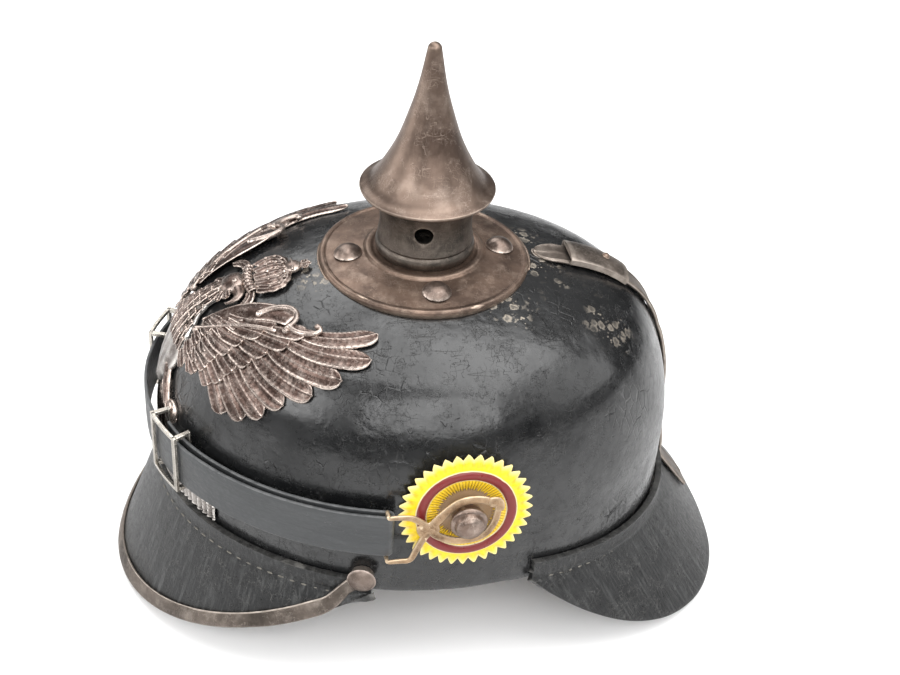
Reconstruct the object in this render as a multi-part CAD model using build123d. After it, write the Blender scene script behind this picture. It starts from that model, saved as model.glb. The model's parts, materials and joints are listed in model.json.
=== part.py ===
from build123d import *
import os
from functools import lru_cache
from math import acos, atan2, ceil, cos, degrees, hypot, pi, radians, sin, sqrt

# Spiked leather helmet, millimetres. Front is -Y, the wearer's left is +X, the ground is Z = 0.

# Skull: elliptic in plan, one profile of arcs stretched along Y
skull_half_width = 87.8
skull_half_length = 104.0
crown_height = 142.5
straight_wall_height = 68.5
shoulder_radius = 40.0
crown_turn = 22.0
shoulder_turn = 46.0
skull_leather = 3.0
edge_height = 44.5
nape_start = 20.0
nape_drop = 8.5
crown_hole_radius = 13.0

# Clearances
seat_gap = 0.2
running_gap = 0.35
overrun = 5.0
rim_step_share = 0.01
solve_steps = 40
ground_cut = 0.35

# Visors: a flange sewn round the skull and a flared sheet down to the rim
visor_leather = 2.6
front_end_y = -29.0
front_flange_front = 51.0
front_flange_end = 55.0
front_flange_height = 7.0
front_rim_half_width = 88.0
front_rim_reach = 125.6
front_rim_end_height = 46.0
front_rim_fullness = 1.94
front_rim_fall = 1.13
rear_end_y = 32.0
rear_flange_end = 53.3
rear_flange_rear = 41.0
rear_flange_height = 7.0
rear_rim_half_width = 87.6
rear_rim_reach = 131.5
rear_rim_end_height = 44.0
rear_rim_fullness = 2.6
rear_rim_fall = 2.2
visor_sections = 25

# Steel trim round the front visor
trim_steel = 0.8
trim_band = 6.2
trim_return = 4.0
trim_gap = 0.25
trim_wrap_turn = 60.0
trim_tab_radius = 4.6
trim_stud_y = -32.6
trim_stud_height = 52.6
trim_stud_head_radius = 5.5
trim_stud_head_height = 2.4

# Base plate of the spike
plate_radius = 40.9
plate_rim_height = 139.7
plate_bead_width = 2.6
plate_bead_rise = 0.5
plate_stud_height = 141.7
plate_ring_outer = 23.6
plate_ring_width = 3.6
plate_ring_base = 142.4
plate_ring_rise = 1.3
plate_seat_height = 143.2
plate_hole_radius = 14.4
stud_circle_radius = 29.8
stud_head_radius = 5.6
stud_head_height = 3.6
stud_shank_radius = 1.5
stud_hole_radius = 1.8
stud_leg_length = 7.0
stud_leg_width = 2.2
stud_leg_steel = 0.6
stud_washer_radius = 5.0
stud_washer_thickness = 1.0
stud_washer_drop = 0.7

# Bayonet collar and the turned spike on it
collar_outer = 16.6
collar_wall = 1.2
collar_top = 152.5
lug_radius = 1.3
lug_height = 148.7
lug_reach = 1.1
lug_turn = 40.0
slot_gap = 0.35
slot_end_turn = 2.0
neck_bottom = 143.6
neck_bead_radius = 19.3
neck_bead_height = 4.8
neck_groove_radius = 18.3
neck_foot_radius = 18.6
neck_waist_radius = 17.8
neck_waist_height = 158.0
neck_top_radius = 20.6
neck_top = 168.7
neck_wall = 0.9
vent_radius = 3.6
vent_height = 158.6
vent_turn = -12.0
cone_rim_radius = 25.8
cone_rim_height = 170.6
cone_lip = 1.5
cone_tip_height = 228.5
cone_tip_radius = 2.7
cone_radius_shares = (0.800, 0.505, 0.312, 0.200)
cone_height_shares = (0.065, 0.300, 0.545, 0.730)
cone_bore_radius = 15.0
cone_bore_share = 0.45
cone_bore_top_radius = 5.0

# Rear spine and its vent slide
spine_width = 13.0
spine_steel = 2.3
spine_tip_y = 43.4
spine_tip_run = 7.0
spine_arc_start = 52.0
spine_arc_middle = 74.0
spine_arc_end = 95.0
spine_foot_height = 12.0
spine_step_length = 8.0
slide_start_y = 57.6
slide_length = 27.0
slide_steel = 0.8
slide_skirt = 1.5
slide_arch = 1.1
knob_radius = 1.7
knob_height = 1.53
knob_place_share = 0.6
vent_slot_length = 9.0
vent_slot_width = 5.0
spine_vent_radius = 2.6
prong_radius = 1.0
prong_hole_radius = 1.3
prong_leg = 5.0
tongue_prong_y = 52.0
wall_prong_height = 84.0

# Side posts, cockades and strap hooks
post_y = 3.7
post_height = 85.0
post_shank_radius = 3.0
post_hole_radius = 3.3
post_neck_radius = 5.8
post_head_radius = 6.9
post_head_rise = 5.2
post_radius_shares = (1.0, 0.86, 0.80, 0.72, 0.45)
post_rise_shares = (0.22, 0.40, 0.42, 0.72, 0.95)
post_inner_reach = 6.0
post_washer_radius = 6.5
post_washer_thickness = 1.0
nut_radius = 4.9
nut_sides = 6
nut_thickness = 3.0
cockade_radius = 25.0
cockade_teeth = 36
cockade_tooth = 2.6
cockade_steel = 0.8
cockade_tilt = 4.0
cockade_stand = 0.75
cockade_ring_outer = 18.6
cockade_ring_inner = 15.0
cockade_rise = 1.9
cockade_ring_rise = 1.0
cockade_dish = 0.9
cockade_bore = 3.8
hook_plane = 92.9
hook_steel = 1.2
hook_eye_outer = 10.0
hook_wire = 3.0
hook_fork_share = 0.8
hook_over_turn = 40.0
hook_under_turn = 50.0
hook_cross_reach = 16.5
hook_cross_drop = 3.5
hook_fork_reach = 22.6
bar_reach = 29.0
bar_x = 89.6
bar_radius = 0.75

# Chin strap: one band in plan, folded back round the bar of each hook
strap_leather_thickness = 1.4
strap_fold_gap = 0.25
strap_width = 19.0
strap_height = 78.0
strap_front_radius = 82.0
strap_front_reach = 110.5
strap_front_turn = 38.0
strap_return_turn = 21.0
buckle_turn = 18.0
buckle_length = 20.0
buckle_height = 26.0
buckle_wire = 2.2
buckle_inner_steel = 0.9

# Front plate: drawn on a plane that leans back from the front
plate_lean = 45.0
emblem_back = 1.0
emblem_steel = 1.3
feather_step = 1.0
body_step = 1.4
feather_count = 9
feather_pivot = (25.0, 30.0)
feather_first_turn = 68.0
feather_spread = 122.0
feather_longest = 50.0
feather_shortest = 22.0
feather_width = 8.6
feather_rib_width = 2.6
feather_root_width = 6.0
wing_inner = 12.0
wing_shoulder_drop = 12.0
covert_radius = 15.0
body_half_width = 13.5
body_half_height = 17.0
body_centre = 8.0
neck_length = 14.0
neck_width = 10.0
head_radius = 6.0
head_shift = 2.5
beak_length = 7.0
beak_width = 5.0
crown_width = 19.0
crown_band = 3.6
crown_rise = 11.0
crown_ball = 2.4
tail_half_width = 16.0
tail_length = 24.0
leg_reach = 17.0
leg_length = 17.0
leg_width = 5.0
claw_radius = 4.4
ribbon_width = 7.0
sceptre_length = 44.0
sceptre_width = 2.4
sceptre_bead = 2.6
sceptre_lean = 12.0
orb_radius = 5.4
sceptre_bead_shares = (0.82, 1.0)
beak_seat_share = 0.6
beak_hook_share = 0.8
beak_drop_share = 0.7
crown_band_share = 0.75
crown_arch_share = 0.55
ribbon_rise_share = 1.4
ribbon_end_share = 0.6
scroll_end_share = 1.4
scroll_half_width = 52.0
scroll_bottom = 55.6
scroll_height = 8.0
scroll_fold = 9.0
scroll_fold_drop = 1.6
loop_reach = 24.0
loop_rise = 36.0
loop_width = 5.0
loop_steel = 1.4
loop_depth = 11.5
loop_eye_radius = 1.3
loop_slit_gap = 0.4
loop_pin_radius = 0.9
loop_pin_length = 16.0
loop_pin_depth = 8.0

# Liner
band_leather = 1.4
band_top = 68.0
band_rise = 3.0
tongue_count = 10
tongue_leather = 1.2
tongue_foot_turn = 27.0
tongue_tip_radius = 44.0
tongue_tip_drop = 30.5
tongue_bulge_radius = 72.0
tongue_bulge_drop = 48.5
tongue_tip_width = 13.0
tongue_hole_radius = 2.4
tongue_hole_inset = 7.0

# Derived sizes
length_ratio = skull_half_length / skull_half_width
full_turn = crown_turn + shoulder_turn
sin_crown, cos_crown = sin(radians(crown_turn)), cos(radians(crown_turn))
sin_full, cos_full = sin(radians(full_turn)), cos(radians(full_turn))
floor_level = -overrun
trim_front_reach = front_rim_reach + trim_gap + trim_steel
centre_shift = (trim_front_reach - rear_rim_reach) / 2
cone_bore_depth = (cone_tip_height - cone_rim_height) * cone_bore_share
tongue_tip_height = crown_height - tongue_tip_drop
tongue_bulge_height = crown_height - tongue_bulge_drop
whole_span = skull_half_length * 4


def solve_profile():
    """Crown and wall radii that carry the profile from the axis to the straight wall."""
    across = skull_half_width - shoulder_radius * (sin_full - sin_crown)
    down = crown_height - straight_wall_height - shoulder_radius * (cos_crown - cos_full)
    left, right = 1 - cos_crown, 1 - sin_full
    area = sin_crown * cos_full - left * right
    crown = (across * cos_full - right * down) / area
    wall = (sin_crown * down - left * across) / area
    return crown, wall


crown_radius, wall_radius = solve_profile()
crown_centre = crown_height - crown_radius
shoulder_x = (crown_radius - shoulder_radius) * sin_crown
shoulder_z = crown_centre + (crown_radius - shoulder_radius) * cos_crown
wall_x = skull_half_width - wall_radius


def on_arc(centre_x, centre_z, radius, turn):
    """Point of a profile arc at a turn from the crown, in degrees."""
    return (centre_x + radius * sin(radians(turn)), centre_z + radius * cos(radians(turn)))


def crown_level(reach, offset=0.0):
    """Height of the skull at a reach from the axis, measured across, on the crown or shoulder."""
    if reach <= (crown_radius + offset) * sin_crown:
        return crown_centre + sqrt((crown_radius + offset) ** 2 - reach**2)
    return shoulder_z + sqrt((shoulder_radius + offset) ** 2 - (reach - shoulder_x) ** 2)


def wall_reach(height, offset=0.0):
    """Reach of the skull's wall from the axis, measured across, at a height."""
    if height <= straight_wall_height:
        return skull_half_width + offset
    return wall_x + sqrt((wall_radius + offset) ** 2 - (height - straight_wall_height) ** 2)


@lru_cache(maxsize=None)
def form(offset, floor=floor_level):
    """The skull's solid form, grown by an offset and run down to a floor."""
    top = (0, crown_height + offset)
    crown_mid = on_arc(0, crown_centre, crown_radius + offset, crown_turn / 2)
    crown_end = on_arc(0, crown_centre, crown_radius + offset, crown_turn)
    shoulder_mid = on_arc(shoulder_x, shoulder_z, shoulder_radius + offset, crown_turn + shoulder_turn / 2)
    shoulder_end = on_arc(shoulder_x, shoulder_z, shoulder_radius + offset, full_turn)
    wall_mid = on_arc(wall_x, straight_wall_height, wall_radius + offset, (full_turn + 90) / 2)
    wall_end = (skull_half_width + offset, straight_wall_height)
    foot = (skull_half_width + offset, floor)

    def place(point):
        return (point[0], 0, point[1])

    edges = [
        ThreePointArc(place(top), place(crown_mid), place(crown_end)),
        ThreePointArc(place(crown_end), place(shoulder_mid), place(shoulder_end)),
        ThreePointArc(place(shoulder_end), place(wall_mid), place(wall_end)),
        Line(place(wall_end), place(foot)),
        Line(place(foot), (0, 0, floor)),
        Line((0, 0, floor), place(top)),
    ]
    turned = revolve(make_face(edges), Axis.Z)
    return scale(turned, by=(1, length_ratio, 1))


def shell(inner, outer):
    """The space between two grown forms."""
    return form(outer) - form(inner, floor_level - overrun)


def ellipse_point(turn, offset, sense):
    """Plan point of the wall; turn is from the front or the rear, sense is -1 or 1 along Y."""
    reach = skull_half_width + offset
    return reach * sin(radians(turn)), sense * reach * length_ratio * cos(radians(turn))


def skull_normal(x, y, z):
    """Outward direction of the skull's surface at a point on it."""
    reach = hypot(x, y / length_ratio)
    if z <= straight_wall_height:
        across, up = 1.0, 0.0
    elif reach >= shoulder_x + shoulder_radius * sin_full:
        across, up = reach - wall_x, z - straight_wall_height
    elif reach >= crown_radius * sin_crown:
        across, up = reach - shoulder_x, z - shoulder_z
    else:
        across, up = reach, z - crown_centre
    if reach == 0:
        return Vector(0, 0, 1)
    return Vector(across * x / reach, across * y / reach / length_ratio**2, up).normalized()


def crown_seat(x, y):
    """Plane on the crown or shoulder over a plan point, its normal outward."""
    z = crown_level(hypot(x, y / length_ratio))
    return Plane(origin=(x, y, z), z_dir=skull_normal(x, y, z))


def wall_seat(x_sign, y, z):
    """Plane on the side wall at a length and a height, its normal outward."""
    reach = wall_reach(z)
    x = x_sign * sqrt(reach**2 - (y / length_ratio) ** 2)
    return Plane(origin=(x, y, z), z_dir=skull_normal(x, y, z))


def solid_of(shape):
    """One shape of all the solids in a result."""
    solids = shape.solids()
    return solids[0] if len(solids) == 1 else Compound(solids)


def polygon_wire(points):
    """Closed wire through points."""
    return Wire.make_polygon([Vector(*point) for point in points], close=True)


def flattened(points):
    """Section moved onto its own mean plane, so that it can close a solid."""
    centre = sum(points, Vector()) / len(points)
    normal = Vector()
    for start, end in zip(points, points[1:] + points[:1]):
        normal += (start - centre).cross(end - centre)
    normal = normal.normalized()
    return [point - normal * (point - centre).dot(normal) for point in points]


def loft_round(sections):
    """Smooth solid through closed sections that stand round the head."""
    closed = [flattened(sections[0])] + sections[1:-1] + [flattened(sections[-1])]
    return Solid.make_loft([polygon_wire(points) for points in closed], False)


def turned(points):
    """Solid of revolution about the helmet's axis from reach and height pairs."""
    outline = [Vector(reach, 0, height) for reach, height in points]
    return revolve(make_face(Polyline(*outline, close=True)), Axis.Z)


# Visors


def rim_point(share, half_width, end_y, reach, end_height, fullness, fall, inset):
    """Rim of a visor; share runs from -1 to 1 across, inset moves it inward in plan."""
    sense = -1 if end_y < 0 else 1
    turn = share * pi / 2
    power = 2 / fullness
    along = abs(cos(turn)) ** power
    across = abs(sin(turn)) ** power * (1 if share > 0 else -1)
    depth = reach - abs(end_y)
    x = (half_width - inset) * across
    y = sense * (abs(end_y) + (depth - inset) * along)
    return x, y, end_height * (1 - along) ** fall


def front_rim(share, inset=0.0):
    """Rim of the front visor, its trim standing on the ground."""
    x, y, z = rim_point(
        share,
        front_rim_half_width,
        front_end_y,
        front_rim_reach,
        front_rim_end_height,
        front_rim_fullness,
        front_rim_fall,
        inset,
    )
    return Vector(x, y, z + trim_gap + trim_steel - ground_cut)


def rear_rim(share, inset=0.0):
    """Rim of the rear visor, standing on the ground."""
    x, y, z = rim_point(
        share,
        rear_rim_half_width,
        rear_end_y,
        rear_rim_reach,
        rear_rim_end_height,
        rear_rim_fullness,
        rear_rim_fall,
        inset,
    )
    return Vector(x, y, z - ground_cut)


def front_flange(share, offset, drop):
    """Flange of the front visor on the skull's wall, a drop below its top edge."""
    end_turn = degrees(acos(-front_end_y / skull_half_length))
    x, y = ellipse_point(share * end_turn, offset, -1)
    fade = (abs(y) + front_end_y) / (skull_half_length + front_end_y)
    rise = (front_flange_end - front_flange_front) * (1 - fade)
    return Vector(x, y, front_flange_front + rise - drop)


def rear_flange(share, offset, drop):
    """Flange of the rear visor on the skull's wall, a drop below its top edge."""
    end_turn = degrees(acos(rear_end_y / skull_half_length))
    x, y = ellipse_point(share * end_turn, offset, 1)
    fall = (rear_flange_end - rear_flange_rear) * (y - rear_end_y) / (skull_half_length - rear_end_y)
    return Vector(x, y, rear_flange_end - fall - drop)


def shares(count):
    """Even shares from -1 to 1."""
    return [2 * index / (count - 1) - 1 for index in range(count)]


def visor(flange, rim, height):
    """Flange and flared sheet in one leather."""
    outer, inner = seat_gap + visor_leather, seat_gap
    sections = [
        [
            flange(share, outer, 0),
            flange(share, outer, height),
            rim(share),
            rim(share, visor_leather),
            flange(share, inner, height),
            flange(share, inner, 0),
        ]
        for share in shares(visor_sections)
    ]
    return loft_round(sections)


def side_posts_out(shape, cutter):
    """Cut a shape by a cutter and its mirror image."""
    return shape - cutter - mirror(cutter, Plane.YZ)


def trim_stud_plane():
    """Plane of the left trim stud, on the flange's outer face."""
    plane = wall_seat(1, trim_stud_y, trim_stud_height)
    return plane.offset(seat_gap + visor_leather + trim_gap + trim_steel)


def trim_stud_hole():
    """Hole of the left trim stud through trim, flange and skull."""
    hole = Cylinder(stud_hole_radius, (skull_leather + visor_leather + overrun) * 2)
    return trim_stud_plane() * hole


def make_front_visor():
    sheet = visor(front_flange, front_rim, front_flange_height)
    return side_posts_out(sheet, trim_stud_hole())


def make_rear_visor():
    sheet = visor(rear_flange, rear_rim, rear_flange_height)
    ground = Pos(0, 0, -overrun / 2) * Box(whole_span, whole_span, overrun)
    return sheet - ground


def sheet_frame(share):
    """Rim point of the front visor, the way up the sheet and the way out of it."""
    rim = front_rim(share)
    crease = front_flange(share, seat_gap + visor_leather, front_flange_height)
    up = (crease - rim).normalized()
    before = front_rim(max(share - rim_step_share, -1))
    after = front_rim(min(share + rim_step_share, 1))
    along = (after - before).normalized()
    out = up.cross(along).normalized()
    if out.dot(Vector(rim.X, rim.Y, 0)) < 0:
        out = out * -1
    return rim, crease, up, out


def sheet_point(share, climb, stand):
    """Point over the front visor's outer face: a climb from the rim, and how far it stands off."""
    rim, crease, up, out = sheet_frame(share)
    length = (crease - rim).length
    if climb <= length:
        return rim + up * climb + out * stand
    flat = Vector(out.X, out.Y, 0).normalized()
    return crease + Vector(0, 0, climb - length) + flat * stand


def make_visor_trim():
    """Channel round the rim: an outer band from end to end, a lip under the rim and a return."""
    near, far = trim_gap, trim_gap + trim_steel
    band = loft_round(
        [
            [
                sheet_point(share, trim_band, near),
                sheet_point(share, trim_band, far),
                sheet_point(share, -far, far),
                sheet_point(share, -far, near),
            ]
            for share in shares(visor_sections)
        ]
    )
    wrap = trim_wrap_turn / 90
    sections = []
    for share in shares(visor_sections):
        rim, _, up, out = sheet_frame(share * wrap)
        inner = front_rim(share * wrap, visor_leather)
        back = (inner - rim).normalized()
        foot = rim + out * ((near + far) / 2)
        sections.append(
            [
                foot + up * (-near),
                foot + up * (-far),
                inner + back * far - up * far,
                inner + back * far + up * trim_return,
                inner + back * near + up * trim_return,
                inner + back * near - up * near,
            ]
        )
    lip = loft_round(sections)
    tab = trim_stud_plane().offset(-trim_steel) * extrude(Circle(trim_tab_radius), trim_steel)
    trim = band + lip + tab + mirror(tab, Plane.YZ)
    trim = side_posts_out(trim, trim_stud_hole())
    seat = extrude(Circle(trim_stud_head_radius + seat_gap), visor_leather + overrun)
    trim = side_posts_out(trim, trim_stud_plane() * seat)
    ground = Pos(0, 0, -overrun / 2) * Box(whole_span, whole_span, overrun)
    return trim - ground - form(seat_gap)


def dome(radius, rise):
    """Cap of a sphere on the plane Z = 0."""
    sphere = (radius**2 + rise**2) / (2 * rise)
    cap = Pos(0, 0, rise - sphere) * Sphere(sphere)
    return cap & Pos(0, 0, rise / 2) * Box(radius * 2, radius * 2, rise)


def split_stud(head_radius, head_rise, shank, legs):
    """Domed head, shank and two legs folded out at its inner end."""
    stud = dome(head_radius, head_rise)
    stud += Pos(0, 0, -shank / 2) * Cylinder(stud_shank_radius, shank)
    leg = Pos(legs / 2, 0, -shank + stud_leg_steel / 2) * Box(legs, stud_leg_width, stud_leg_steel)
    return stud + leg + mirror(leg, Plane.YZ)


def make_trim_studs():
    sheets = trim_steel + trim_gap + visor_leather + seat_gap + skull_leather
    shank = sheets + stud_washer_drop + stud_leg_steel
    stud = split_stud(trim_stud_head_radius, trim_stud_head_height, shank, stud_leg_width)
    stud = trim_stud_plane() * Rot(0, 0, 90) * stud
    return Compound([stud, mirror(stud, Plane.YZ)])


# Skull


def edge_cutter(rise=0.0):
    """Everything below the skull's lower edge, which dips at the nape."""
    far = skull_half_length * 2
    front, rear = edge_height + rise, edge_height + rise - nape_drop
    low = floor_level - overrun * 2
    side = Polyline(
        (0, -far, low),
        (0, -far, front),
        (0, nape_start, front),
        (0, skull_half_length, rear),
        (0, far, rear),
        (0, far, low),
        close=True,
    )
    return extrude(make_face(side), far, dir=(1, 0, 0), both=True)


def stud_turns():
    """Turns of the four base studs, one to the front, one to the rear and one to each side."""
    return [index * 90 for index in range(4)]


def loop_plane(side):
    """Seat of a front plate loop; side is -1 or 1."""
    lean = radians(plate_lean)
    x = side * loop_reach
    low, high = -skull_half_length, 0
    for _ in range(solve_steps):
        y = (low + high) / 2
        rise = y * sin(lean) + crown_level(hypot(x, y / length_ratio)) * cos(lean)
        low, high = (y, high) if rise < loop_rise else (low, y)
    z = crown_level(hypot(x, y / length_ratio))
    return Plane(origin=(x, y, z), x_dir=(0, 0, 1), z_dir=skull_normal(x, y, z))


def spine_seat_prongs():
    """Seats of the prongs that hold the spine: on the crown and on the rear wall."""
    crown = crown_seat(0, tongue_prong_y)
    y = wall_reach(wall_prong_height) * length_ratio
    wall = Plane(origin=(0, y, wall_prong_height), z_dir=skull_normal(0, y, wall_prong_height))
    return [crown, wall]


def make_skull():
    body = form(0.0) - form(-skull_leather, floor_level - overrun) - edge_cutter()
    body -= Cylinder(crown_hole_radius, whole_span)
    for turn in stud_turns():
        body -= stud_plane(turn) * Cylinder(stud_hole_radius, crown_height / 2)
    post = Pos(0, post_y, post_height) * Rot(0, 90, 0) * Cylinder(post_hole_radius, whole_span)
    body -= post
    body = side_posts_out(body, trim_stud_hole())
    vent = crown_seat(0, slide_start_y + vent_slot_length / 2 + overrun / 4)
    body -= vent * Cylinder(spine_vent_radius, overrun * 4)
    for plane in spine_seat_prongs():
        body -= plane * Cylinder(prong_hole_radius, overrun * 4)
    for side in (-1, 1):
        slit = Box(loop_steel + loop_slit_gap, loop_width + loop_slit_gap, overrun * 4)
        body -= loop_plane(side) * slit
    return solid_of(body)


# Base plate and spike


def make_base_plate():
    """Turned plate with a beaded rim and a raised ring, its underside on the skull."""
    bead_inner = plate_radius - plate_bead_width
    ring_inner = plate_ring_outer - plate_ring_width
    low = plate_rim_height - overrun
    rim = plate_rim_height
    points = [
        (plate_hole_radius, low),
        (plate_radius, low),
        (plate_radius, rim - plate_bead_rise),
        (plate_radius - plate_bead_width / 4, rim + plate_bead_rise / 2),
        (plate_radius - plate_bead_width / 2, rim + plate_bead_rise),
        (bead_inner, rim),
        (stud_circle_radius, plate_stud_height),
        (plate_ring_outer, plate_ring_base),
        (plate_ring_outer - plate_ring_width / 3, plate_ring_base + plate_ring_rise),
        (ring_inner + plate_ring_width / 3, plate_ring_base + plate_ring_rise),
        (ring_inner, plate_seat_height),
        (plate_hole_radius, plate_seat_height),
    ]
    plate = turned(points) - form(seat_gap)
    for turn in stud_turns():
        plate -= stud_plane(turn) * Cylinder(stud_hole_radius, overrun * 4)
    return solid_of(plate)


def stud_plane(turn):
    """Plane of a base stud on the plate's top face."""
    run = plate_radius - plate_bead_width - stud_circle_radius
    lean = degrees(atan2(plate_stud_height - plate_rim_height, run))
    seat = Pos(stud_circle_radius, 0, plate_stud_height) * Rot(0, lean / 2, 0)
    return Plane((0, 0, 0)) * Rot(0, 0, turn) * seat


def stud_depth():
    """From the plate's top face to the skull's inner face at a stud, measured across."""
    return plate_stud_height - crown_level(stud_circle_radius, -skull_leather)


def make_base_studs():
    shank = stud_depth() + stud_washer_drop + stud_washer_thickness + stud_leg_steel + seat_gap
    stud = Pos(0, 0, seat_gap) * split_stud(stud_head_radius, stud_head_height, shank, stud_leg_length)
    return Compound([stud_plane(turn) * stud for turn in stud_turns()])


def make_stud_washers():
    ring = Cylinder(stud_washer_radius, stud_washer_thickness) - Cylinder(stud_hole_radius, overrun)
    drop = stud_depth() + stud_washer_drop + stud_washer_thickness / 2 - seat_gap
    return Compound([stud_plane(turn) * Pos(0, 0, -drop) * ring for turn in stud_turns()])


def lug_bearings():
    """Turns of the two lugs at rest."""
    return [90, 270]


def make_bayonet_collar():
    """Upright tube with two slots that open at the top and run round to the lock."""
    inner = collar_outer - collar_wall
    tube = turned(
        [
            (inner, plate_seat_height + seat_gap),
            (collar_outer, plate_seat_height + seat_gap),
            (collar_outer, collar_top),
            (inner, collar_top),
        ]
    )
    half_turn = degrees((lug_radius + slot_gap) / collar_outer) + slot_end_turn
    half_slot = lug_radius + slot_gap
    for bearing in lug_bearings():
        ring = Polyline(
            (inner - overrun, 0, lug_height - half_slot),
            (collar_outer + overrun, 0, lug_height - half_slot),
            (collar_outer + overrun, 0, lug_height + half_slot),
            (inner - overrun, 0, lug_height + half_slot),
            close=True,
        )
        run = revolve(make_face(ring), Axis.Z, revolution_arc=lug_turn + 2 * half_turn)
        entry = Pos(collar_outer, 0, lug_height + overrun) * Box(overrun * 2, half_slot * 2, overrun * 2)
        tube -= Rot(0, 0, bearing - half_turn) * run
        tube -= Rot(0, 0, bearing + lug_turn) * entry
    return solid_of(tube)


def make_spike_lugs():
    inner = collar_outer - collar_wall
    bore = neck_bore()
    length = bore - seat_gap / 2 - inner + lug_reach / 2
    lug = Pos(bore - seat_gap / 2 - length / 2, 0, lug_height) * Rot(0, 90, 0) * Cylinder(lug_radius, length)
    return Compound([Rot(0, 0, bearing) * lug for bearing in lug_bearings()])


def neck_bore():
    """Inner radius of the spike's neck."""
    return neck_waist_radius - neck_wall


def make_spike_neck():
    bore = neck_bore()
    bead_top = neck_bottom + neck_bead_height
    bead_mid = neck_bottom + neck_bead_height / 2
    edges = [
        Line((bore, 0, neck_bottom), (neck_groove_radius, 0, neck_bottom)),
        ThreePointArc(
            (neck_groove_radius, 0, neck_bottom),
            (neck_bead_radius, 0, bead_mid),
            (neck_groove_radius, 0, bead_top),
        ),
        Line((neck_groove_radius, 0, bead_top), (neck_foot_radius, 0, bead_top + neck_wall)),
        Spline(
            (neck_foot_radius, 0, bead_top + neck_wall),
            (neck_waist_radius, 0, neck_waist_height),
            (neck_top_radius, 0, neck_top),
        ),
        Line((neck_top_radius, 0, neck_top), (neck_top_radius - neck_wall * 2, 0, neck_top)),
        Line((neck_top_radius - neck_wall * 2, 0, neck_top), (bore, 0, neck_waist_height)),
        Line((bore, 0, neck_waist_height), (bore, 0, neck_bottom)),
    ]
    neck = revolve(make_face(edges), Axis.Z)
    hole = Pos(0, 0, vent_height) * Rot(0, 90, 0) * Cylinder(vent_radius, whole_span)
    return neck - Rot(0, 0, vent_turn) * hole


def make_spike_cone():
    """Concave cone with a sharp rim and a blunt, rounded tip."""
    rise = cone_tip_height - cone_rim_height
    flank = [(cone_rim_radius, 0, cone_rim_height)]
    for radius_share, height_share in zip(cone_radius_shares, cone_height_shares):
        flank.append((cone_rim_radius * radius_share, 0, cone_rim_height + rise * height_share))
    flank.append((cone_tip_radius, 0, cone_tip_height - cone_tip_radius))
    underside = cone_rim_height - cone_lip
    tip_side = (cone_tip_radius * sin(pi / 4), 0, cone_tip_height - cone_tip_radius * (1 - cos(pi / 4)))
    edges = [
        Spline(*flank),
        ThreePointArc(flank[-1], tip_side, (0, 0, cone_tip_height)),
        Line((0, 0, cone_tip_height), (0, 0, underside + cone_bore_depth)),
        Line((0, 0, underside + cone_bore_depth), (cone_bore_top_radius, 0, underside + cone_bore_depth)),
        Line((cone_bore_top_radius, 0, underside + cone_bore_depth), (cone_bore_radius, 0, underside)),
        Line((cone_bore_radius, 0, underside), (cone_rim_radius - cone_lip / 2, 0, underside)),
        Line((cone_rim_radius - cone_lip / 2, 0, underside), (cone_rim_radius, 0, cone_rim_height)),
    ]
    return revolve(make_face(edges), Axis.Z)


# Rear spine


def spine_rise(y, stand):
    """Point in the middle plane over the crown or shoulder, standing off the skull."""
    reach = y / length_ratio
    z = crown_level(reach)
    normal = skull_normal(0, y, z)
    return Vector(0, y, z) + normal * stand


def circle_through(a, b, c):
    """Centre and radius of the circle through three points of the middle plane."""
    ax, az, bx, bz, cx, cz = a.Y, a.Z, b.Y, b.Z, c.Y, c.Z
    twice = 2 * (ax * (bz - cz) + bx * (cz - az) + cx * (az - bz))
    sa, sb, sc = ax * ax + az * az, bx * bx + bz * bz, cx * cx + cz * cz
    y = (sa * (bz - cz) + sb * (cz - az) + sc * (az - bz)) / twice
    z = (sa * (cx - bx) + sb * (ax - cx) + sc * (bx - ax)) / twice
    return y, z, hypot(ax - y, az - z)


arc_a = spine_rise(spine_arc_start, seat_gap + spine_steel)
arc_b = spine_rise(spine_arc_middle, seat_gap + spine_steel)
arc_c = spine_rise(spine_arc_end, seat_gap + spine_steel)
slide_y, slide_z, slide_radius = circle_through(arc_a, arc_b, arc_c)


def slide_turn(y):
    """Turn from straight up of the slide arc at a place along the helmet."""
    return degrees(atan2(y - slide_y, sqrt(slide_radius**2 - (y - slide_y) ** 2)))


def wall_point(height, stand):
    """Point in the middle plane off the rear wall at a height."""
    return Vector(0, wall_reach(height, stand) * length_ratio, height)


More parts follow.
